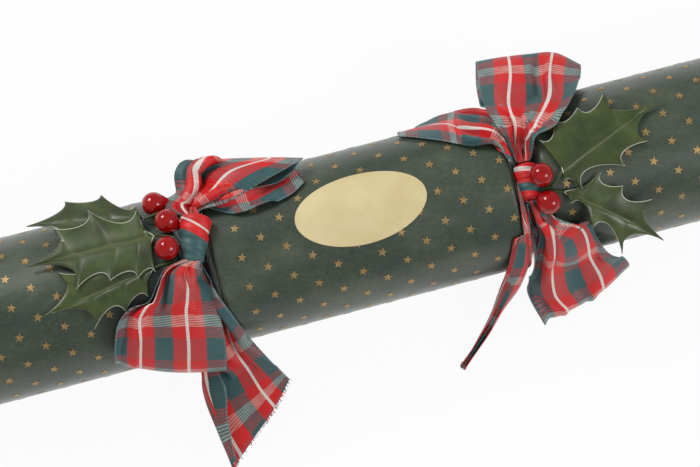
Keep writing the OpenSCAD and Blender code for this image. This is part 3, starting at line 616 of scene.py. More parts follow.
def curve_at(rows, s):
    last = len(rows) - 1
    i = min(int(math.floor(s)), last - 1)
    t = s - i
    a = 2 * rows[0] - rows[1] if i == 0 else rows[i - 1]
    d = 2 * rows[last] - rows[last - 1] if i + 2 > last else rows[i + 2]
    b, c = rows[i], rows[i + 1]
    square, cube = 2 * a - 5 * b + 4 * c - d, 3 * b - a - 3 * c + d
    return (2 * b + (c - a) * t + square * t * t + cube * t ** 3) / 2


def rest_out(points, gap):
    """Moves points, given as x from the choke, y and z, out of the tubes."""
    into = np.maximum(0, CHOKE_HALF - SHOULDER_RUN - np.abs(points[..., 0]))
    low = np.maximum(BAND_R + gap, R + gap - DIP_SLOPE * into)
    dy, dz = points[..., 1], points[..., 2] - AXIS_Z
    grow = np.maximum(1.0, low / np.maximum(np.hypot(dy, dz), 0.001))
    height = np.maximum(AXIS_Z + dz * grow, RIBBON_T)
    return np.stack([points[..., 0], dy * grow, height], axis=-1)


def unit(vectors):
    return vectors / np.maximum(np.linalg.norm(vectors, axis=-1, keepdims=True), 1e-9)


# %% Knots and the rows on their faces
KNOTS = {
    -1: {"centre": np.array([0.03, 0.10, 2.06]) * R, "r": 4.6, "turn": math.radians(-18.0)},
    1: {"centre": np.array([-0.01, -0.19, 1.85]) * R, "r": 4.0, "turn": math.radians(0.0)},
}
KNOT_LEN = 13.0
KNOT_END_SHARE = 0.86
FACE_SHARE = 0.72
FACE_GAP = 0.4


def face_row(side, face, level_share, count):
    knot = KNOTS[side]
    half = knot["r"] * KNOT_END_SHARE * FACE_SHARE
    cosine, sine = math.cos(knot["turn"]), math.sin(knot["turn"])
    out = face * (KNOT_LEN / 2 + FACE_GAP)
    return np.array([knot["centre"] + np.array([x * cosine - out * sine, x * sine + out * cosine,
                                                level_share * knot["r"]])
                     for x in np.linspace(-half, half, count)])


# %% Turning rows into cloth
PLEAT_MOST = 2.0
PLEAT_RUN = 8
CRUMPLE = 0.28
CRUMPLE_FOLDED = 0.2
CLOTH_T = 0.26
FOLD_RISE = 0.9
FOLD_SOFT = 0.35
LEAST_LAID = 0.1
PLEAT_WANDER, PLEAT_SECOND = 0.5, 0.3
cloth_made = {}


def share_across(share, layers):
    """A place across the ribbon's width as a place across its fold."""
    if not layers:
        return share
    soft = (1 - math.cos(math.pi * layers * share)) / 2
    return FOLD_SOFT * soft + (1 - FOLD_SOFT) * abs((layers * share + 1) % 2 - 1)


def cloth(node, side, rows, gaps, cells, seed, level=None, pleats=3, outward=(0.0, 0.0),
          marks=None, weft_from=0.0, layers=0, fullness=1.0):
    """Lays one ribbon. Marks say where the stations stand across it, as shares of its width; with
    layers the ribbon is folded lengthwise to and fro that many times."""
    across, along = cells
    rows = np.array(rows, dtype=float)
    stations = len(rows[0]) - 1
    marks = marks or [k / stations for k in range(stations + 1)]
    base = np.zeros((along + 1, across + 1, 3))
    for j in range(along + 1):
        line = curve_at(rows, (len(rows) - 1) * j / along)
        for i in range(across + 1):
            share = share_across(i / across, layers)
            base[j, i] = curve_at(line, float(np.interp(share, marks, range(stations + 1))))
    normal = unit(np.cross(np.gradient(base, axis=1), np.gradient(base, axis=0)))
    if layers:
        first_fold = base[:, across // layers] - base[:, 0]
        flat_way = unit(np.cross(first_fold, np.gradient(base[:, 0], axis=0)))
        normal = np.repeat(flat_way[:, None], across + 1, axis=1)
    drift = np.random.default_rng(seed)
    u = np.linspace(0, 1, across + 1)[None, :]
    t = np.linspace(0, 1, along + 1)[:, None]
    root = np.minimum(1, np.minimum(PLEAT_RUN * t, PLEAT_RUN * (1 - t) if "loop" in node else 1))
    steps = np.linalg.norm(np.diff(base, axis=1), axis=-1) * across / RIBBON_W
    between = (steps[:, 1:] + steps[:, :-1]) / 2
    steps = np.concatenate([steps[:, :1], between, steps[:, -1:]], axis=1)
    reach = max(1, across // 12)
    blurred = np.stack([np.mean(steps[:, max(0, i - reach): i + reach + 1], axis=1)
                        for i in range(across + 1)], axis=1)
    laid_flat = np.clip(blurred + LEAST_LAID, 0, 1)
    spare = RIBBON_W * np.sqrt((1 - laid_flat ** 2) / 2) / (math.pi * pleats)
    deep = np.minimum(PLEAT_MOST, fullness * spare) * root
    wander = PLEAT_WANDER * np.sin(TURN * (t * 1.3 + drift.uniform()))
    wave = np.sin(TURN * pleats * u + wander)
    wave = wave + PLEAT_SECOND * np.sin(TURN * (pleats * 2 + 1) * u + 3 * wander)
    crumple = np.sin(9 * u + 11 * t + drift.uniform(0, 6))
    crumple = crumple * np.sin(5 * u - 17 * t + drift.uniform(0, 6))
    leaning = outward[0] + (outward[1] - outward[0]) * np.clip(6 * t - 2.5, 0, 1)
    lift = deep * (wave + leaning) + CRUMPLE * crumple * (1.3 - laid_flat) * root
    if layers:
        lift = FOLD_RISE * layers * (u - 0.5) * root + CRUMPLE_FOLDED * crumple * root
    points = base + normal * lift[..., None]
    points = rest_out(points, gaps[0] + (gaps[1] - gaps[0]) * np.clip(3 * t - 1, 0, 1))
    if level is not None:
        points[..., 2] = np.maximum(points[..., 2], level)
    middle = points[:, across // 2]
    step_mm = np.linalg.norm(np.diff(middle, axis=0), axis=-1)
    down_mm = np.concatenate([[0], np.cumsum(step_mm)]) - weft_from
    points = points + np.array([side * CHOKE_X, 0, 0])
    uv = [(i / across, down_mm[j]) for j in range(along + 1) for i in range(across + 1)]
    name = "ribbon_" + node
    faces = grid_faces(along + 1, across + 1)
    piece = make_piece(name, points.reshape(-1, 3), faces, ribbon, side, node, uv)
    stiffen(piece, "cloth thickness", CLOTH_T)
    corner = (points[1:, 1:] - points[:-1, :-1], points[1:, :-1] - points[:-1, 1:])
    cloth_made[name] = points


# %% Loops and tails
LOOP_CELLS = (48, 150)
TAIL_CELLS = (40, 90)
TOP_GAP = 4.2
UNDER_GAP = 2.6
TAIL_GAP = 1.0
TOP_LAYER, UNDER_LAYER, TAIL_LAYER = 0.5, -0.1, -0.6


def rows_of(shares):
    return [np.array(row).reshape(-1, 3) / 100 * R for row in shares]


def loop(node, side, face, shares, seed, **more):
    """A loop leaves the knot's end face in its top layer and comes back in its under layer."""
    rows = [face_row(side, face, layer, 5) for layer in (TOP_LAYER, UNDER_LAYER)]
    rows[1:1] = rows_of(shares)
    cloth(node, side, rows, (TOP_GAP, UNDER_GAP), LOOP_CELLS, seed, **more)


def tail(node, side, face, shares, seed, cells=TAIL_CELLS, **more):
    rows = rows_of(shares)
    if face:
        rows = [face_row(side, face, TAIL_LAYER, len(rows[0]))] + rows
    cloth(node, side, rows, (TAIL_GAP, TAIL_GAP), cells, seed, RIBBON_T / 2, **more)


# %% [markdown]
# ## The left bow
#
# The upper loop is squashed flat along the barrel's far shoulder and lies on a tail. The lower
# loop is wide open: it spreads over the end's near shoulder and turns under at a fold. The front
# tail falls to the table with one edge folded over.
#
# Each row of numbers holds the x, y and z of its stations in hundredths of the radius, with x from
# the choke, y from the axis and z from the table.

# %% Left loops
left_loop_upper = [
    [-14, 55, 190, -5, 58, 198, 2, 58, 186, 10, 51, 199, 18, 42, 200],
    [-3, 80, 171, 13, 78, 191, 23, 82, 172, 39, 65, 200, 50, 47, 198],
    [10, 105, 175, 22, 102, 190, 33, 98, 182, 71, 81, 205, 105, 62, 203],
    [24, 115, 171, 50, 107, 186, 80, 98, 193, 116, 87, 197, 151, 77, 195],
    [25, 118, 158, 51, 110, 168, 82, 101, 176, 117, 91, 182, 152, 80, 185],
    [16, 98, 148, 42, 87, 160, 68, 76, 171, 95, 66, 180, 122, 56, 187],
    [6, 78, 150, 20, 72, 166, 36, 64, 178, 52, 56, 186, 68, 50, 190],
    [-12, 56, 176, -4, 56, 178, 3, 55, 176, 10, 52, 180, 15, 48, 184],
]
left_loop_lower = [
    [-38, -17, 215, -35, -19, 215, -30, -22, 215, -14, -26, 213, -1, -27, 194],
    [-52, -33, 211, -48, -36, 211, -40, -37, 212, -15, -43, 208, 6, -43, 182],
    [-68, -49, 205, -62, -51, 205, -49, -54, 205, -19, -58, 200, 8, -59, 174],
    [-103, -58, 200, -84, -60, 202, -56, -66, 197, -24, -72, 192, 10, -76, 166],
    [-119, -82, 182, -93, -88, 180, -63, -95, 168, -31, -103, 161, 8, -109, 142],
    [-125, -99, 163, -101, -108, 150, -72, -117, 135, -39, -125, 124, 2, -132, 120],
    [-125, -98, 150, -101, -106, 133, -72, -115, 116, -39, -123, 104, 0, -131, 100],
    [-109, -85, 168, -85, -92, 158, -61, -99, 148, -36, -104, 136, -4, -108, 124],
    [-77, -68, 186, -58, -74, 180, -42, -80, 174, -24, -84, 166, -1, -83, 146],
    [-44, -47, 194, -32, -50, 190, -22, -52, 184, -12, -54, 176, 2, -54, 170],
    [-24, -26, 198, -18, -30, 197, -11, -33, 192, -5, -35, 188, 2, -36, 184],
]
loop("left_loop_upper", -1, 1, left_loop_upper, 21, pleats=4, fullness=1.4, outward=(0.6, -0.5))
loop("left_loop_lower", -1, -1, left_loop_lower, 22, weft_from=9.0, outward=(-0.4, -0.4))

# %% Left tails
left_tail_front = [
    [-4, -36, 168, -10, -36, 164, -2, -37, 164, 6, -36, 168, 13, -34, 172],
    [-2, -70, 142, -10, -70, 138, 0, -72, 138, 10, -70, 150, 20, -68, 172],
    [-16, -110, 98, -24, -108, 88, -6, -113, 98, 15, -112, 114, 37, -105, 132],
    [-6, -150, 92, -35, -144, 80, -4, -144, 82, 27, -140, 95, 57, -137, 110],
    [-14, -190, 72, -31, -190, 58, 2, -178, 62, 36, -165, 76, 67, -152, 92],
    [-18, -236, 50, -21, -242, 38, 16, -212, 52, 47, -188, 70, 73, -161, 87],
]
left_tail_back = [
    [-10, 56, 142, 2, 56, 145, 15, 44, 166],
    [30, 88, 152, 45, 62, 182, 60, 32, 202],
    [62, 99, 130, 79, 66, 178, 94, 31, 200],
    [95, 103, 105, 114, 79, 164, 127, 37, 198],
    [120, 103, 90, 138, 86, 158, 149, 50, 192],
]
tail("left_tail_front", -1, -1, left_tail_front, 23, outward=(-0.5, -0.5),
     marks=[0, 0.17, 0.45, 0.72, 1])
tail("left_tail_back", -1, 1, left_tail_back, 24, outward=(0.6, 0.6), marks=[0, 0.6, 1],
     fullness=1.3)

# %% [markdown]
# ## The right bow
#
# Both loops stand out over the sides of the cracker, like the ears of a bow. The upper one points
# to the back, and the lower one hangs forward and is open towards the right end. The front tail is
# folded in three lengthwise and seen almost on edge, and the back tail rolls over the barrel.

# %% Right loops and tails
right_loop_upper = [
    [-12, 29, 180, -3, 31, 186, 5, 31, 178, 13, 28, 186, 21, 22, 180],
    [-18, 58, 192, 0, 53, 200, 17, 47, 188, 32, 41, 200, 53, 42, 198],
    [-25, 93, 180, -2, 82, 197, 36, 75, 180, 56, 71, 190, 87, 71, 178],
    [-20, 131, 160, 14, 123, 175, 46, 115, 168, 68, 109, 170, 106, 104, 150],
    [-13, 160, 138, 22, 152, 153, 53, 148, 150, 85, 143, 146, 114, 124, 135],
    [-12, 162, 120, 23, 155, 132, 54, 150, 130, 85, 144, 126, 113, 124, 118],
    [-20, 130, 125, 10, 122, 138, 38, 118, 133, 60, 112, 132, 95, 105, 125],
    [-22, 95, 140, 0, 90, 150, 22, 85, 152, 42, 85, 153, 70, 85, 154],
    [-10, 60, 182, 0, 56, 178, 10, 52, 174, 19, 50, 176, 30, 48, 184],
    [-12, 30, 172, -5, 30, 169, 2, 30, 168, 8, 28, 169, 13, 26, 170],
]
right_loop_lower = [
    [-6, -50, 174, -1, -50, 180, 3, -50, 170, 6, -50, 176, 9, -50, 176],
    [-3, -64, 156, 6, -66, 168, 14, -68, 158, 18, -68, 172, 22, -70, 182],
    [0, -80, 142, 11, -84, 162, 30, -88, 152, 49, -86, 168, 58, -88, 164],
    [-11, -103, 110, 5, -115, 116, 35, -113, 95, 60, -113, 118, 78, -110, 122],
    [-20, -122, 75, 4, -142, 80, 40, -136, 64, 73, -131, 82, 103, -120, 90],
    [-10, -162, 46, 17, -160, 56, 48, -153, 50, 77, -144, 57, 112, -127, 66],
    [-10, -160, 28, 17, -157, 36, 48, -150, 32, 77, -141, 38, 110, -124, 46],
    [-20, -122, 50, 4, -125, 52, 34, -120, 42, 62, -116, 52, 90, -110, 62],
    [-6, -103, 98, 6, -105, 100, 25, -103, 86, 44, -103, 100, 62, -102, 110],
    [-5, -70, 142, 4, -74, 140, 11, -76, 136, 20, -76, 160, 34, -80, 164],
    [-10, -50, 154, -4, -50, 152, 2, -50, 151, 8, -50, 153, 13, -52, 156],
]
right_tail_front = [
    [-17, -10, 140, -17.5, -10, 147, -17, -10, 154],
    [-17, -35, 140, -17.5, -35, 148, -17, -35, 156],
    [-17, -60, 136, -17, -62, 152, -10, -62, 148],
    [-32, -77, 166, -21, -80, 164, -13, -84, 130],
    [-43, -100, 135, -28, -106, 140, -17, -100, 95],
    [-57, -120, 87, -47, -126, 100, -32, -118, 50],
    [-71, -138, 42, -66, -143, 62, -56, -135, 20],
    [-93, -162, 18, -89, -164, 33, -85, -160, 6],
    [-121, -188, 6, -121, -190, 10, -116, -186, 3],
]
right_tail_back = [
    [-27, 12, 190, -17, 30, 180, -6, 42, 162],
    [-35, 31, 200, -29, 55, 188, -19, 78, 164],
    [-59, 41, 197, -53, 70, 176, -42, 96, 136],
    [-80, 54, 188, -72, 94, 142, -62, 101, 80],
    [-107, 70, 176, -100, 102, 118, -90, 91, 52],
    [-135, 86, 157, -122, 103, 95, -105, 79, 34],
]
loop("right_loop_upper", 1, 1, right_loop_upper, 31, weft_from=3.5, outward=(0.3, 0.3))
loop("right_loop_lower", 1, -1, right_loop_lower, 32, outward=(-0.3, -0.3))
tail("right_tail_front", 1, 0, right_tail_front, 33, cells=(72, 90), layers=3)
tail("right_tail_back", 1, 1, right_tail_back, 34, outward=(0.6, 0.6), marks=[0, 0.38, 1],
     pleats=4, fullness=1.5)
print("ribbons laid:", len(cloth_made))

# %% [markdown]
# ## The knots and the bands
#
# A knot is the ribbon gathered tight and wrapped once round the middle of the bow. It is swept
# round its own axis. One table gives its radius, and soft folds run round it at a slant. Two more
# tables say which stripe and which bar of the ribbon show along it. The band goes round the neck
# below.

# %% Knots
KNOT_FOLD = 0.16
KNOT_FLAT = 0.92
END_TURN = 0.09


def along_table(table, s):
    return float(np.interp(s, *zip(*table)))


def knot(side, length, shift, radii, stripes, wefts, slant, folds):
    """Radii, stripes and wefts are lists of (share of the length from the back end, value)."""
    spec = KNOTS[side]
    cosine, sine = math.cos(spec["turn"]), math.sin(spec["turn"])
    long_way, side_way = np.array([-sine, cosine, 0.0]), np.array([cosine, sine, 0.0])
    centre = spec["centre"] + np.array([side * CHOKE_X, 0, 0]) + long_way * shift
    rounds, steps = 96, 60
    points, uv = [], []
    for j in range(steps + 1):
        s = 1 - j / steps
        close = min(1.0, min(s, 1 - s) / END_TURN)
        for i in range(rounds):
            a = TURN * i / rounds
            skew = s - slant * math.sin(a)
            fold = math.sin(TURN * folds * skew)
            fold += 0.5 * math.sin(TURN * (folds * 2.3 * skew + 0.3 * math.sin(2 * a)))
            r = along_table(radii, s) * math.sqrt(max(0.05, 1 - (1 - close) ** 2))
            r += KNOT_FOLD * fold
            points.append(centre + long_way * (0.5 - s) * length + side_way * r * math.sin(a)
                          + np.array([0, 0, KNOT_FLAT * r * math.cos(a)]))
            uv.append((along_table(stripes, skew), along_table(wefts, skew) + 1.2 * math.cos(a)))
    make_piece(f"knot_{SIDES[side]}", points, capped_faces(steps + 1, rounds), ribbon, side,
               f"{SIDES[side]}_bow_knot", uv)


knot(-1, 17.5, 0.3, [(0, 4.6), (0.12, 5.3), (0.35, 4.8), (0.65, 4.4), (0.88, 3.6), (1, 2.6)],
     [(0, 0.15), (0.22, 0.276), (0.42, 0.413), (1, 0.575)],
     [(0, 12.2), (0.42, 12.2), (0.47, 5), (1, 5)], 0.13, 3.0)
knot(1, 13.4, 0.0, [(0, 3.6), (0.15, 4.2), (0.5, 4.1), (0.8, 3.9), (1, 3.2)],
     [(0, 0.76), (0.2, 0.724), (0.32, 0.69), (0.55, 0.6), (0.72, 0.5), (0.8, 0.4), (1, 0.33)],
     [(0, 12), (0.5, 12), (0.55, 5.5), (0.75, 5.5), (0.8, 11)], 0.09, 3.5)

# %% Bands round the necks
BAND_SKIN, BAND_HALF_T, BAND_FOLD = 0.7, 0.6, 0.2
BAND_STRIPE = 0.075


def band(side):
    rounds, steps = 96, 20
    half = (band_high[0] - band_low[0]) / 2
    points, uv = [], []
    for i in range(rounds):
        a = TURN * i / rounds
        for j in range(steps):
            b = TURN * j / steps
            across = math.copysign(abs(math.cos(b)) ** 0.6, math.cos(b))
            thick = math.copysign(abs(math.sin(b)) ** 0.7, math.sin(b))
            fold = BAND_FOLD * math.sin(3 * math.pi * across + 2 * math.sin(2 * a)) * (thick > 0)
            r = BAND_R - BAND_SKIN + BAND_HALF_T * thick + fold
            x = side * CHOKE_X + half * across
            points.append((x, r * math.sin(a), AXIS_Z + r * math.cos(a)))
            uv.append((0.5 + BAND_STRIPE * across, a * BAND_R))
    make_piece(f"band_{SIDES[side]}", points, grid_faces(rounds, steps, True, True), ribbon, side,
               f"{SIDES[side]}_bow_band", uv)


for side in SIDES:
    band(side)

# %% [markdown]
# ## Frayed threads
#
# Where a tail is cut, the ends of its warp threads stand out past the weave. Each thread starts as
# one short edge of a mesh, laid in the ribbon's own direction. A second tree of Geometry Nodes
# turns every edge into a curve, lets it wander more and more towards its free end, and sweeps a
# thin round section along it.

# %% Thread finish and the tree for threads
fibre = Finish("ribbon_fibre", 0.7, Sheen_Weight=0.2)
fibre_tone = fibre.noise(620.0, 1.0)
fibre.feed(Base_Color=fibre.ramp(fibre_tone, (0.0, TEAL), (0.46, RED), (0.56, (206, 170, 164)),
                                 (0.64, TEAL), constant=True))
fibre.bump(fibre.noise(3000.0, 2.0), 0.3, 0.02)

frays = Tree("frayed_threads", Thread_radius="Float", Wander="Vector", Seed="Int", Fibre="Material")
lines = frays.value("GeometryNodeMeshToCurve", frays["Geometry"])
fine_lines = frays.value("GeometryNodeResampleCurve", lines, Count=7)
jitter = frays.value("FunctionNodeRandomValue", data_type="FLOAT_VECTOR", Min=(-1, -1, -1),
                     Max=(1, 1, 1), Seed=frays["Seed"])
on_line = frays.value("GeometryNodeSplineParameter", output="Factor")
swing = frays.value("ShaderNodeVectorMath", jitter, frays["Wander"], operation="MULTIPLY")
swung = frays.value("ShaderNodeVectorMath", swing, operation="SCALE", Scale=on_line)
loose_lines = frays.value("GeometryNodeSetPosition", fine_lines, Offset=swung)
section = frays.value("GeometryNodeCurvePrimitiveCircle", Resolution=6,
                      Radius=frays["Thread radius"])
threads = frays.value("GeometryNodeCurveToMesh", loose_lines, Profile_Curve=section, Fill_Caps=True)
frays.finish(threads, frays["Fibre"])

# %% Lay the threads
FRAY_COUNT = 110
FRAY_LONG = 1.1
FRAY_FLOOR = 0.45
FRAY_WANDER = (0.35, 0.35, 0.15)
THREAD_R = 0.09


def fray(side, seed):
    pick = random.Random(seed)
    points, edges = [], []
    for tail_name in ("front", "back"):
        rows = cloth_made[f"ribbon_{SIDES[side]}_tail_{tail_name}"]
        last, before = rows[-1], rows[-3]
        for _ in range(FRAY_COUNT):
            s = pick.random() * (len(last) - 1)
            i = min(int(s), len(last) - 2)
            foot = last[i] + (last[i + 1] - last[i]) * (s - i)
            way = foot - (before[i] + (before[i + 1] - before[i]) * (s - i))
            length = FRAY_LONG * (0.25 + 0.75 * pick.random() ** 2)
            head = foot + way / max(np.linalg.norm(way), 0.001) * length
            foot[2], head[2] = max(foot[2], FRAY_FLOOR), max(head[2], FRAY_FLOOR)
            edges.append((len(points), len(points) + 1))
            points += [foot * MM, head * MM]
    return frays.run(f"threads_{SIDES[side]}", side, "ribbon", points, edges,
                     Thread_radius=THREAD_R * MM, Wander=[share * MM for share in FRAY_WANDER],
                     Seed=seed, Fibre=fibre.material)


left_fray, right_fray = fray(-1, 41), fray(1, 42)
print("threads have", len(left_fray.data.polygons), "and", len(right_fray.data.polygons), "faces")

# %% [markdown]
# ## The holly leaves
#
# The leaves are pressed from a coated cloth, a little glossy, with a thin raised midrib and a pale
# cut edge. Each starts from the outline of its solid: between two spines the edge runs straight
# inwards and then hooks round. Points between the midrib and the edge are spread along lines that
# lean towards the tip, as veins do. The nearness of the midrib and of the edge is stored with the
# points, so that the finish can colour them.

# %% Leaf finish
leaf_finish = Finish("holly_leaf_coated", 0.36, Coat_Weight=0.25, Coat_Roughness=0.22)
mottle = leaf_finish.noise(150.0, 4.0)
blade = leaf_finish.ramp(mottle, (0.3, (44, 57, 22)), (0.55, (60, 75, 30)), (0.8, (80, 94, 42)))
for label, colour in (("vein", (98, 110, 62)), ("rim", (222, 224, 204))):
    near = leaf_finish.value("ShaderNodeAttribute", output="Fac", attribute_name=label)
    blade = leaf_finish.mix(near, blade, colour)
leaf_finish.feed(Base_Color=blade)
leaf_finish.rough(mottle, 0.28, 0.46)
leaf_finish.bump(leaf_finish.noise(1100.0, 2.0), 0.3, 0.05)

# %% Leaf outlines
LEAF_T = 0.6
LEAF_SHOWN_T = 0.35
LEAF_GAP = 0.4
LEAF_BEND = 1.8 * R
LEAF_STEPS = 16
HOOK_FAR = (0.42, 0.34)
HOOK_NEAR = (0.98, 0.48)
BASE_HOLLOW = 0.16
# The corner that is the tip, the layer, the depth of the hooks, and the x and y of each corner in
# hundredths of the radius
leaves = {
    "left_leaf_back": (4, 0, 0.5, [-47, 54.5, -57, 75, -94, 105, -139, 109, -190, 87, -152, 61,
                                   -109, 57, -74, 48]),
    "left_leaf_lower": (4, 1, 1, [-52, -10, -80, 16, -118, 24, -164, 14, -195, -34, -137, -62, -97,
                                  -52, -66, -43]),
    "left_leaf_front": (4, 2, 1, [-42, 28, -55, 69, -113, 85, -157, 70, -197, 30, -147, -13, -105,
                                  -13, -73, -19, -51, -16]),
    "right_leaf_upper": (5, 1, 1, [40, -22, 24, 24, 49, 48, 81, 53, 118, 64, 176, 34, 150, -12,
                                   115, -34, 58, -48, 37, -35]),
    "right_leaf_lower": (4, 0, 1, [36, -44, 85, -33, 107, -55, 139, -78, 145, -125, 90, -128, 60,
                                   -92, 40, -60]),
}


def leaf_edge(chain, middle, depth):
    """Points along the edge from the base to the tip, and each one's place between two spines."""
    edge, place = [], []
    for k, (near, far) in enumerate(zip(chain[:-1], chain[1:])):
        run = near - far
        chord = (near + far) / 2
        inward = np.array([-run[1], run[0]])
        inward *= 1 if inward @ (middle - far) > 0 else -1
        first = far + run * HOOK_FAR[0] + inward * HOOK_FAR[1] * depth
        second = far + run * HOOK_NEAR[0] + inward * HOOK_NEAR[1] * depth
        if k == 0:
            hollow = BASE_HOLLOW * min(1.0, 2 * np.linalg.norm(run))
            first = second = chord + (middle - chord) * hollow
        for i in range(LEAF_STEPS):
            t = 1 - i / LEAF_STEPS
            edge.append((1 - t) ** 3 * far + 3 * t * (1 - t) ** 2 * first
                        + 3 * t * t * (1 - t) * second + t ** 3 * near)
            place.append(k + i / LEAF_STEPS)
    return np.array(edge + [chain[-1]]), np.array(place + [len(chain) - 1])


# %% Build each leaf
LEAF_ROWS = [0, 0.025, 0.055, 0.1, 0.18, 0.28, 0.4, 0.52, 0.64, 0.76, 0.87]
EDGE_LINE = 0.4
EDGE_LINE_FROM = 0.93
RIB_WIDTH, HOLLOW_WIDTH = 0.03, 0.14
RIB_RISE, HOLLOW_DEEP = 0.22, 0.35
PUCKER = 0.14
CURL_UP, CURL_DOWN = 0.6, 0.2
VEIN_LEAN = 0.12
MIDRIB_SHOWN, SIDE_VEIN_SHOWN = 0.8, 0.12
WELD_UNDER = 0.02


def bell(t, width):
    return math.exp(-((t / width) ** 2))


def leaf(node, tip, layer, depth, shares):
    side = -1 if node.startswith("left") else 1
    corners = list(np.array(shares).reshape(-1, 2) / 100)
    middle = np.mean(corners, axis=0)
    base, axis = corners[0], corners[tip] - corners[0]
    halves = (corners[: tip + 1], (corners[tip:] + [base])[::-1])
    points, faces, vein, rim = [], [], [], []
    low = 2 * R + LEAF_GAP + layer * (LEAF_T + LEAF_GAP)
    rows = len(LEAF_ROWS) + 2
    for half, chain in enumerate(halves):
        edge, place = leaf_edge(chain, middle, depth)
        at_spine = np.clip((np.array(chain) - base) @ axis / (axis @ axis), 0, 1)
        at_spine = np.maximum.accumulate(at_spine - VEIN_LEAN * np.sin(math.pi * at_spine))
        root = np.interp(place, range(len(chain)), at_spine)
        spine = np.abs(2 * (place % 1) - 1)
        start = len(points)
        for k in range(rows):
            for i in range(len(edge)):
                mid = base + axis * root[i]
                reach = np.linalg.norm(edge[i] - mid) * R
                line = max(EDGE_LINE_FROM, 1 - EDGE_LINE / max(reach, 0.01))
                t = (LEAF_ROWS + [line, 1.0])[k]
                flat = ((1 - t) * mid + t * edge[i]) * R
                ridge = spine[i] ** 6
                fading = max(0.0, min(1.0, (0.9 - root[i]) / 0.3))
                pucker = PUCKER * math.sin(math.pi * min(1, t * 1.1)) * (1 - ridge)
                pucker *= math.sin(math.pi * root[i]) ** 0.5
                curl = CURL_UP * t ** 3 * spine[i] ** 3
                curl *= math.sin(math.pi * min(1, 0.15 + root[i]))
                curl -= CURL_DOWN * t ** 3 * (1 - spine[i])
                rib = RIB_RISE * fading * bell(t, RIB_WIDTH)
                rib -= HOLLOW_DEEP * bell(t, HOLLOW_WIDTH)
                z = low - LEAF_BEND + math.sqrt(max(0, LEAF_BEND ** 2 - flat[1] ** 2)) + LEAF_T / 2
                points.append((side * CHOKE_X + flat[0], flat[1], z + pucker + curl + rib))
                side_vein = SIDE_VEIN_SHOWN * ridge ** 3 * (1 - t) ** 0.5
                vein.append(min(1.0, max(MIDRIB_SHOWN * fading * bell(t, RIB_WIDTH), side_vein)))
                rim.append(1.0 if k == rows - 1 else 0.0)
        made = grid_faces(rows, len(edge), flipped=bool(half))
        faces += [tuple(start + v for v in face) for face in made]
    piece = make_piece(node.replace("leaf", "holly_leaf"), points, faces, leaf_finish, side,
                       node)
    for label, values in (("vein", vein), ("rim", rim)):
        stored = piece.data.attributes.new(label, "FLOAT", "POINT")
        stored.data.foreach_set("value", values)
    piece.modifiers.new("weld", "WELD").merge_threshold = WELD_UNDER * MM
    stiffen(piece, "leaf thickness", LEAF_SHOWN_T)
    print(piece.name, len(piece.data.polygons), "faces")


for node, outline in leaves.items():
    leaf(node, *outline)

# %% [markdown]
# ## The berries
#
# A berry is a bead dipped in red lacquer, drawn out to a short neck where it meets its wire, and
# turned about the line of that neck. The berries rest on the end's paper, at places worked out as
# in the part's source: two stand off the side of their knot, and the back one lies next to the
# middle one.

# %% Berry finish
lacquer = Finish("holly_berry_lacquer", 0.14, Specular_IOR_Level=0.3, Coat_Weight=0.4,
                 Coat_Roughness=0.04)
lacquer_tone = lacquer.noise(300.0, 2.0)
lacquer.feed(Base_Color=lacquer.ramp(lacquer_tone, (0.3, (150, 0, 4)), (0.7, (170, 3, 7))))
lacquer.rough(lacquer_tone, 0.1, 0.18)

# %% Berry places
BERRY_R = 4.0
BERRY_GAP = 1.3
BERRY_LIFT = 0.3
BERRY_REST = R + BERRY_R + BERRY_LIFT
NECK_SHARE = 0.474


def rest_at(x, y):
    return np.array([x, y, AXIS_Z + math.sqrt(BERRY_REST ** 2 - y * y)])


def rest_by_knot(side, y_share, clear):
    spec = KNOTS[side]
    centre = spec["centre"] + np.array([side * CHOKE_X, 0, 0])
    y = y_share * R
    reach = spec["r"] + BERRY_R + clear
    rise = rest_at(0, y)[2] - centre[2]
    away = math.sqrt(max(0, reach ** 2 - rise ** 2)) / math.cos(spec["turn"])
    return rest_at(centre[0] - (y - centre[1]) * math.tan(spec["turn"]) + side * away, y)


middle_y = 0.42 * R
apart = 2 * math.asin((2 * BERRY_R + BERRY_GAP) / 2 / BERRY_REST)
next_turn = math.asin(middle_y / BERRY_REST) + apart
back_x = -CHOKE_X - CHOKE_HALF - NECK_SHARE * 2 * BERRY_R
berries = {
    "left_berry_back": (-1, rest_at(back_x, BERRY_REST * math.sin(next_turn)), (1, 0, 0)),
    "left_berry_middle": (-1, rest_at(-CHOKE_X - 0.229 * R, middle_y), (0.7, -0.6, -0.25)),
    "left_berry_front": (-1, rest_by_knot(-1, 0.073, 0.3), (0.75, 0, -0.66)),
    "right_berry_upper": (1, rest_by_knot(1, -0.208, 0.7), (-0.44, 0.06, -0.9)),
    "right_berry_lower": (1, rest_at(CHOKE_X + 0.133 * R, -0.535 * R), (0.1, 0.75, -0.6)),
}

# %% Build the berries
NECK_WIDTH, NECK_LONG, NECK_THICK = 0.42, 0.3, 0.05
ROUNDS, STEPS = 40, 30


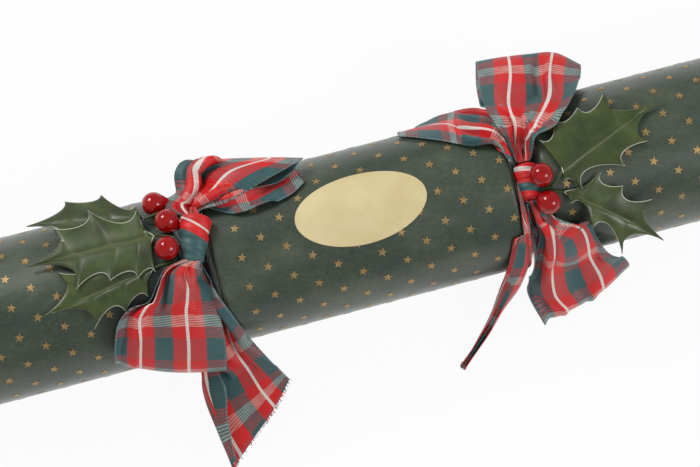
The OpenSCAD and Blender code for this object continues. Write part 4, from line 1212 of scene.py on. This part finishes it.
def berry(node, side, centre, way):
    frame_z = np.array(way) / np.linalg.norm(way)
    frame_x = np.cross(frame_z, [0, 0, 1] if abs(frame_z[2]) < 0.9 else [0, 1, 0])
    frame_x /= np.linalg.norm(frame_x)
    frame_y = np.cross(frame_z, frame_x)
    points = []
    for j in range(STEPS + 1):
        a = math.pi * j / STEPS
        neck = bell(a, NECK_WIDTH)
        reach = BERRY_R * (math.cos(a) + NECK_LONG * neck)
        r = max(BERRY_R * math.sin(a), 0.02) * (1 + NECK_THICK * neck)
        for i in range(ROUNDS):
            b = TURN * i / ROUNDS
            outward = r * (frame_x * math.cos(b) + frame_y * math.sin(b))
            points.append(centre + frame_z * reach + outward)
    make_piece(node.replace("berry", "holly_berry"), points, capped_faces(STEPS + 1, ROUNDS, True),
               lacquer, side, node)
    low, high = cad_box_mm(node)
    off = float(np.linalg.norm(centre - (low + high) / 2))
    print(node, "stands", round(off, 2), "mm from the middle of its solid's box")


for node, (side, centre, way) in berries.items():
    berry(node, side, centre, way)

# %% [markdown]
# ## The hidden pieces
#
# The card tubes, the snap, the gifts and the wires keep their solids, because their shapes are
# already right. Each gets a finish of its own: card with fibres, thin paper, dark friction paste,
# purple tissue, turned brass and wrapped wire.

# %% Finishes for card, papers, wire and brass


def solid_finish(part, name, dark, light, scale, roughness, stretch=(1, 1, 1), bump=0.3, depth=0.05,
                 **sockets):
    """Makes a finish of one grain and gives it to every node whose name holds the part."""
    made = Finish(name, roughness, **sockets)
    grain = made.noise(scale, 4.0, stretch, 0.6)
    made.feed(Base_Color=made.ramp(grain, (0.3, dark), (0.7, light)))
    made.rough(grain, max(0.05, roughness - 0.08), min(1, roughness + 0.08))
    made.bump(grain, bump, depth)
    dressed = [node for node in frame["nodes"] if part in node]
    for node in dressed:
        dress(node, made)
    print(name, "on", dressed)


ALONG = (0.3, 1, 1)
solid_finish("_tube", "tube_card", (132, 112, 86), (176, 156, 126), 900, 0.85, ALONG)
solid_finish("snap_strip", "snap_card", (196, 182, 146), (222, 210, 178), 1200, 0.8, ALONG)
solid_finish("snap_sleeve", "snap_sleeve_paper", (222, 218, 204), (240, 237, 226), 800, 0.75)
solid_finish("snap_charge", "snap_friction_paste", (34, 34, 34), (74, 72, 70), 3000, 0.9, bump=0.6)
solid_finish("paper_crown", "crown_tissue", (96, 46, 128), (134, 78, 168), 500, 0.6, (0.4, 1, 1),
             0.5, 0.1)
solid_finish("motto_slip", "motto_paper", (228, 224, 212), (244, 241, 232), 700, 0.7)
solid_finish("top_", "turned_brass", (188, 146, 78), (226, 188, 112), 400, 0.28, (12, 0.6, 0.6),
             0.15, 0.03, Metallic=1.0)
solid_finish("_stem_", "stem_wrapped_wire", (46, 62, 30), (76, 92, 48), 2200, 0.6, (1, 1, 2.5),
             0.8, 0.12)

# %% [markdown]
# ## Table, light and camera
#
# The table is shown to the camera mostly as plain white, so that it stays pale and still keeps a
# faint shadow. In the strip under the cracker, which shows only through the chokes, the white is
# left out wherever something stands close above the table, and the shadow stays dark. The camera
# looks down from the front at a steep angle, with a long lens.

# %% Table
TABLE_SIZE = 4.0
TABLE_GLOW = 0.94
UNDER_MIDDLE, UNDER_HALF, UNDER_BLUR = 0.0065, 0.0275, 0.003
CLOSE_ABOVE = 0.06
white = Finish("table_white", 0.6, Base_Color=(0.86, 0.86, 0.85, 1))
camera_ray, glossy_ray, through_ray = [white.value("ShaderNodeLightPath", output=f"Is {kind} Ray")
                                       for kind in ("Camera", "Glossy", "Transmission")]
seen = camera_ray.math("MAXIMUM", glossy_ray.math("MAXIMUM", through_ray))
beside = (white.axes(white.place())[1] - UNDER_MIDDLE).math("ABSOLUTE")
outside = white.value("ShaderNodeMapRange", beside, From_Min=UNDER_HALF - UNDER_BLUR,
                      From_Max=UNDER_HALF)
openness = white.value("ShaderNodeAmbientOcclusion", output="AO", Distance=CLOSE_ABOVE)
is_open = white.value("ShaderNodeMapRange", openness, From_Min=0.5, From_Max=0.8)
glow_share = seen * (outside.math("MAXIMUM", is_open) * TABLE_GLOW)
blend = white.value("ShaderNodeMixShader", glow_share, white.shader.outputs[0],
                    white.value("ShaderNodeEmission", Strength=1.0))
put(white.tree, white.tree.nodes["Material Output"].inputs["Surface"], blend)
half = TABLE_SIZE / 2
table_mesh = bpy.data.meshes.new("table")
table_mesh.from_pydata([(-half, -half, 0), (half, -half, 0), (half, half, 0), (-half, half, 0)], [],
                       [(0, 1, 2, 3)])
table_mesh.materials.append(white.material)
table = bpy.data.objects.new("table", table_mesh)
bpy.context.scene.collection.objects.link(table)

# %% Lights
WORLD_LIGHT = 0.42
scene = bpy.context.scene
scene.view_settings.view_transform = "Standard"
scene.world = bpy.data.worlds.new("studio")
scene.world.use_nodes = True
studio = Nodes(scene.world.node_tree)
light = studio.tree.nodes["Background"]
light.inputs["Color"].default_value = (1, 1, 1, 1)
light.inputs["Strength"].default_value = WORLD_LIGHT
either = studio.value("ShaderNodeMixShader",
                      studio.value("ShaderNodeLightPath", output="Is Camera Ray"),
                      light.outputs[0], studio.value("ShaderNodeBackground", (1, 1, 1, 1)))
put(studio.tree, studio.tree.nodes["World Output"].inputs["Surface"], either)


def soft_light(name, place, size, power):
    data = bpy.data.lights.new(name, "AREA")
    data.size = size
    data.energy = power
    lamp = bpy.data.objects.new(name, data)
    scene.collection.objects.link(lamp)
    lamp.location = place
    lamp.rotation_euler = (-Vector(place)).to_track_quat("-Z", "Y").to_euler()


soft_light("key_back_left", (-0.7, 0.9, 1.1), 0.5, 12.0)
soft_light("fill_front_right", (0.9, -0.7, 1.0), 0.6, 7.5)

# %% Camera
AZIMUTH, ELEVATION = math.radians(-15.0), math.radians(76.0)
CAMERA_DISTANCE = 672.0
CAMERA_TARGET = np.array([-4.0, -1.0, 27.0])
camera_data = bpy.data.cameras.new("camera")
camera_data.lens = 100.0
camera_data.sensor_width = 36.0
camera = bpy.data.objects.new("camera", camera_data)
scene.collection.objects.link(camera)
back_way = np.array([math.sin(AZIMUTH) * math.cos(ELEVATION),
                     -math.cos(AZIMUTH) * math.cos(ELEVATION), math.sin(ELEVATION)])
camera.location = Vector((CAMERA_TARGET + back_way * CAMERA_DISTANCE) * MM)
camera.rotation_euler = Vector(-back_way).to_track_quat("-Z", "Y").to_euler()
scene.camera = camera
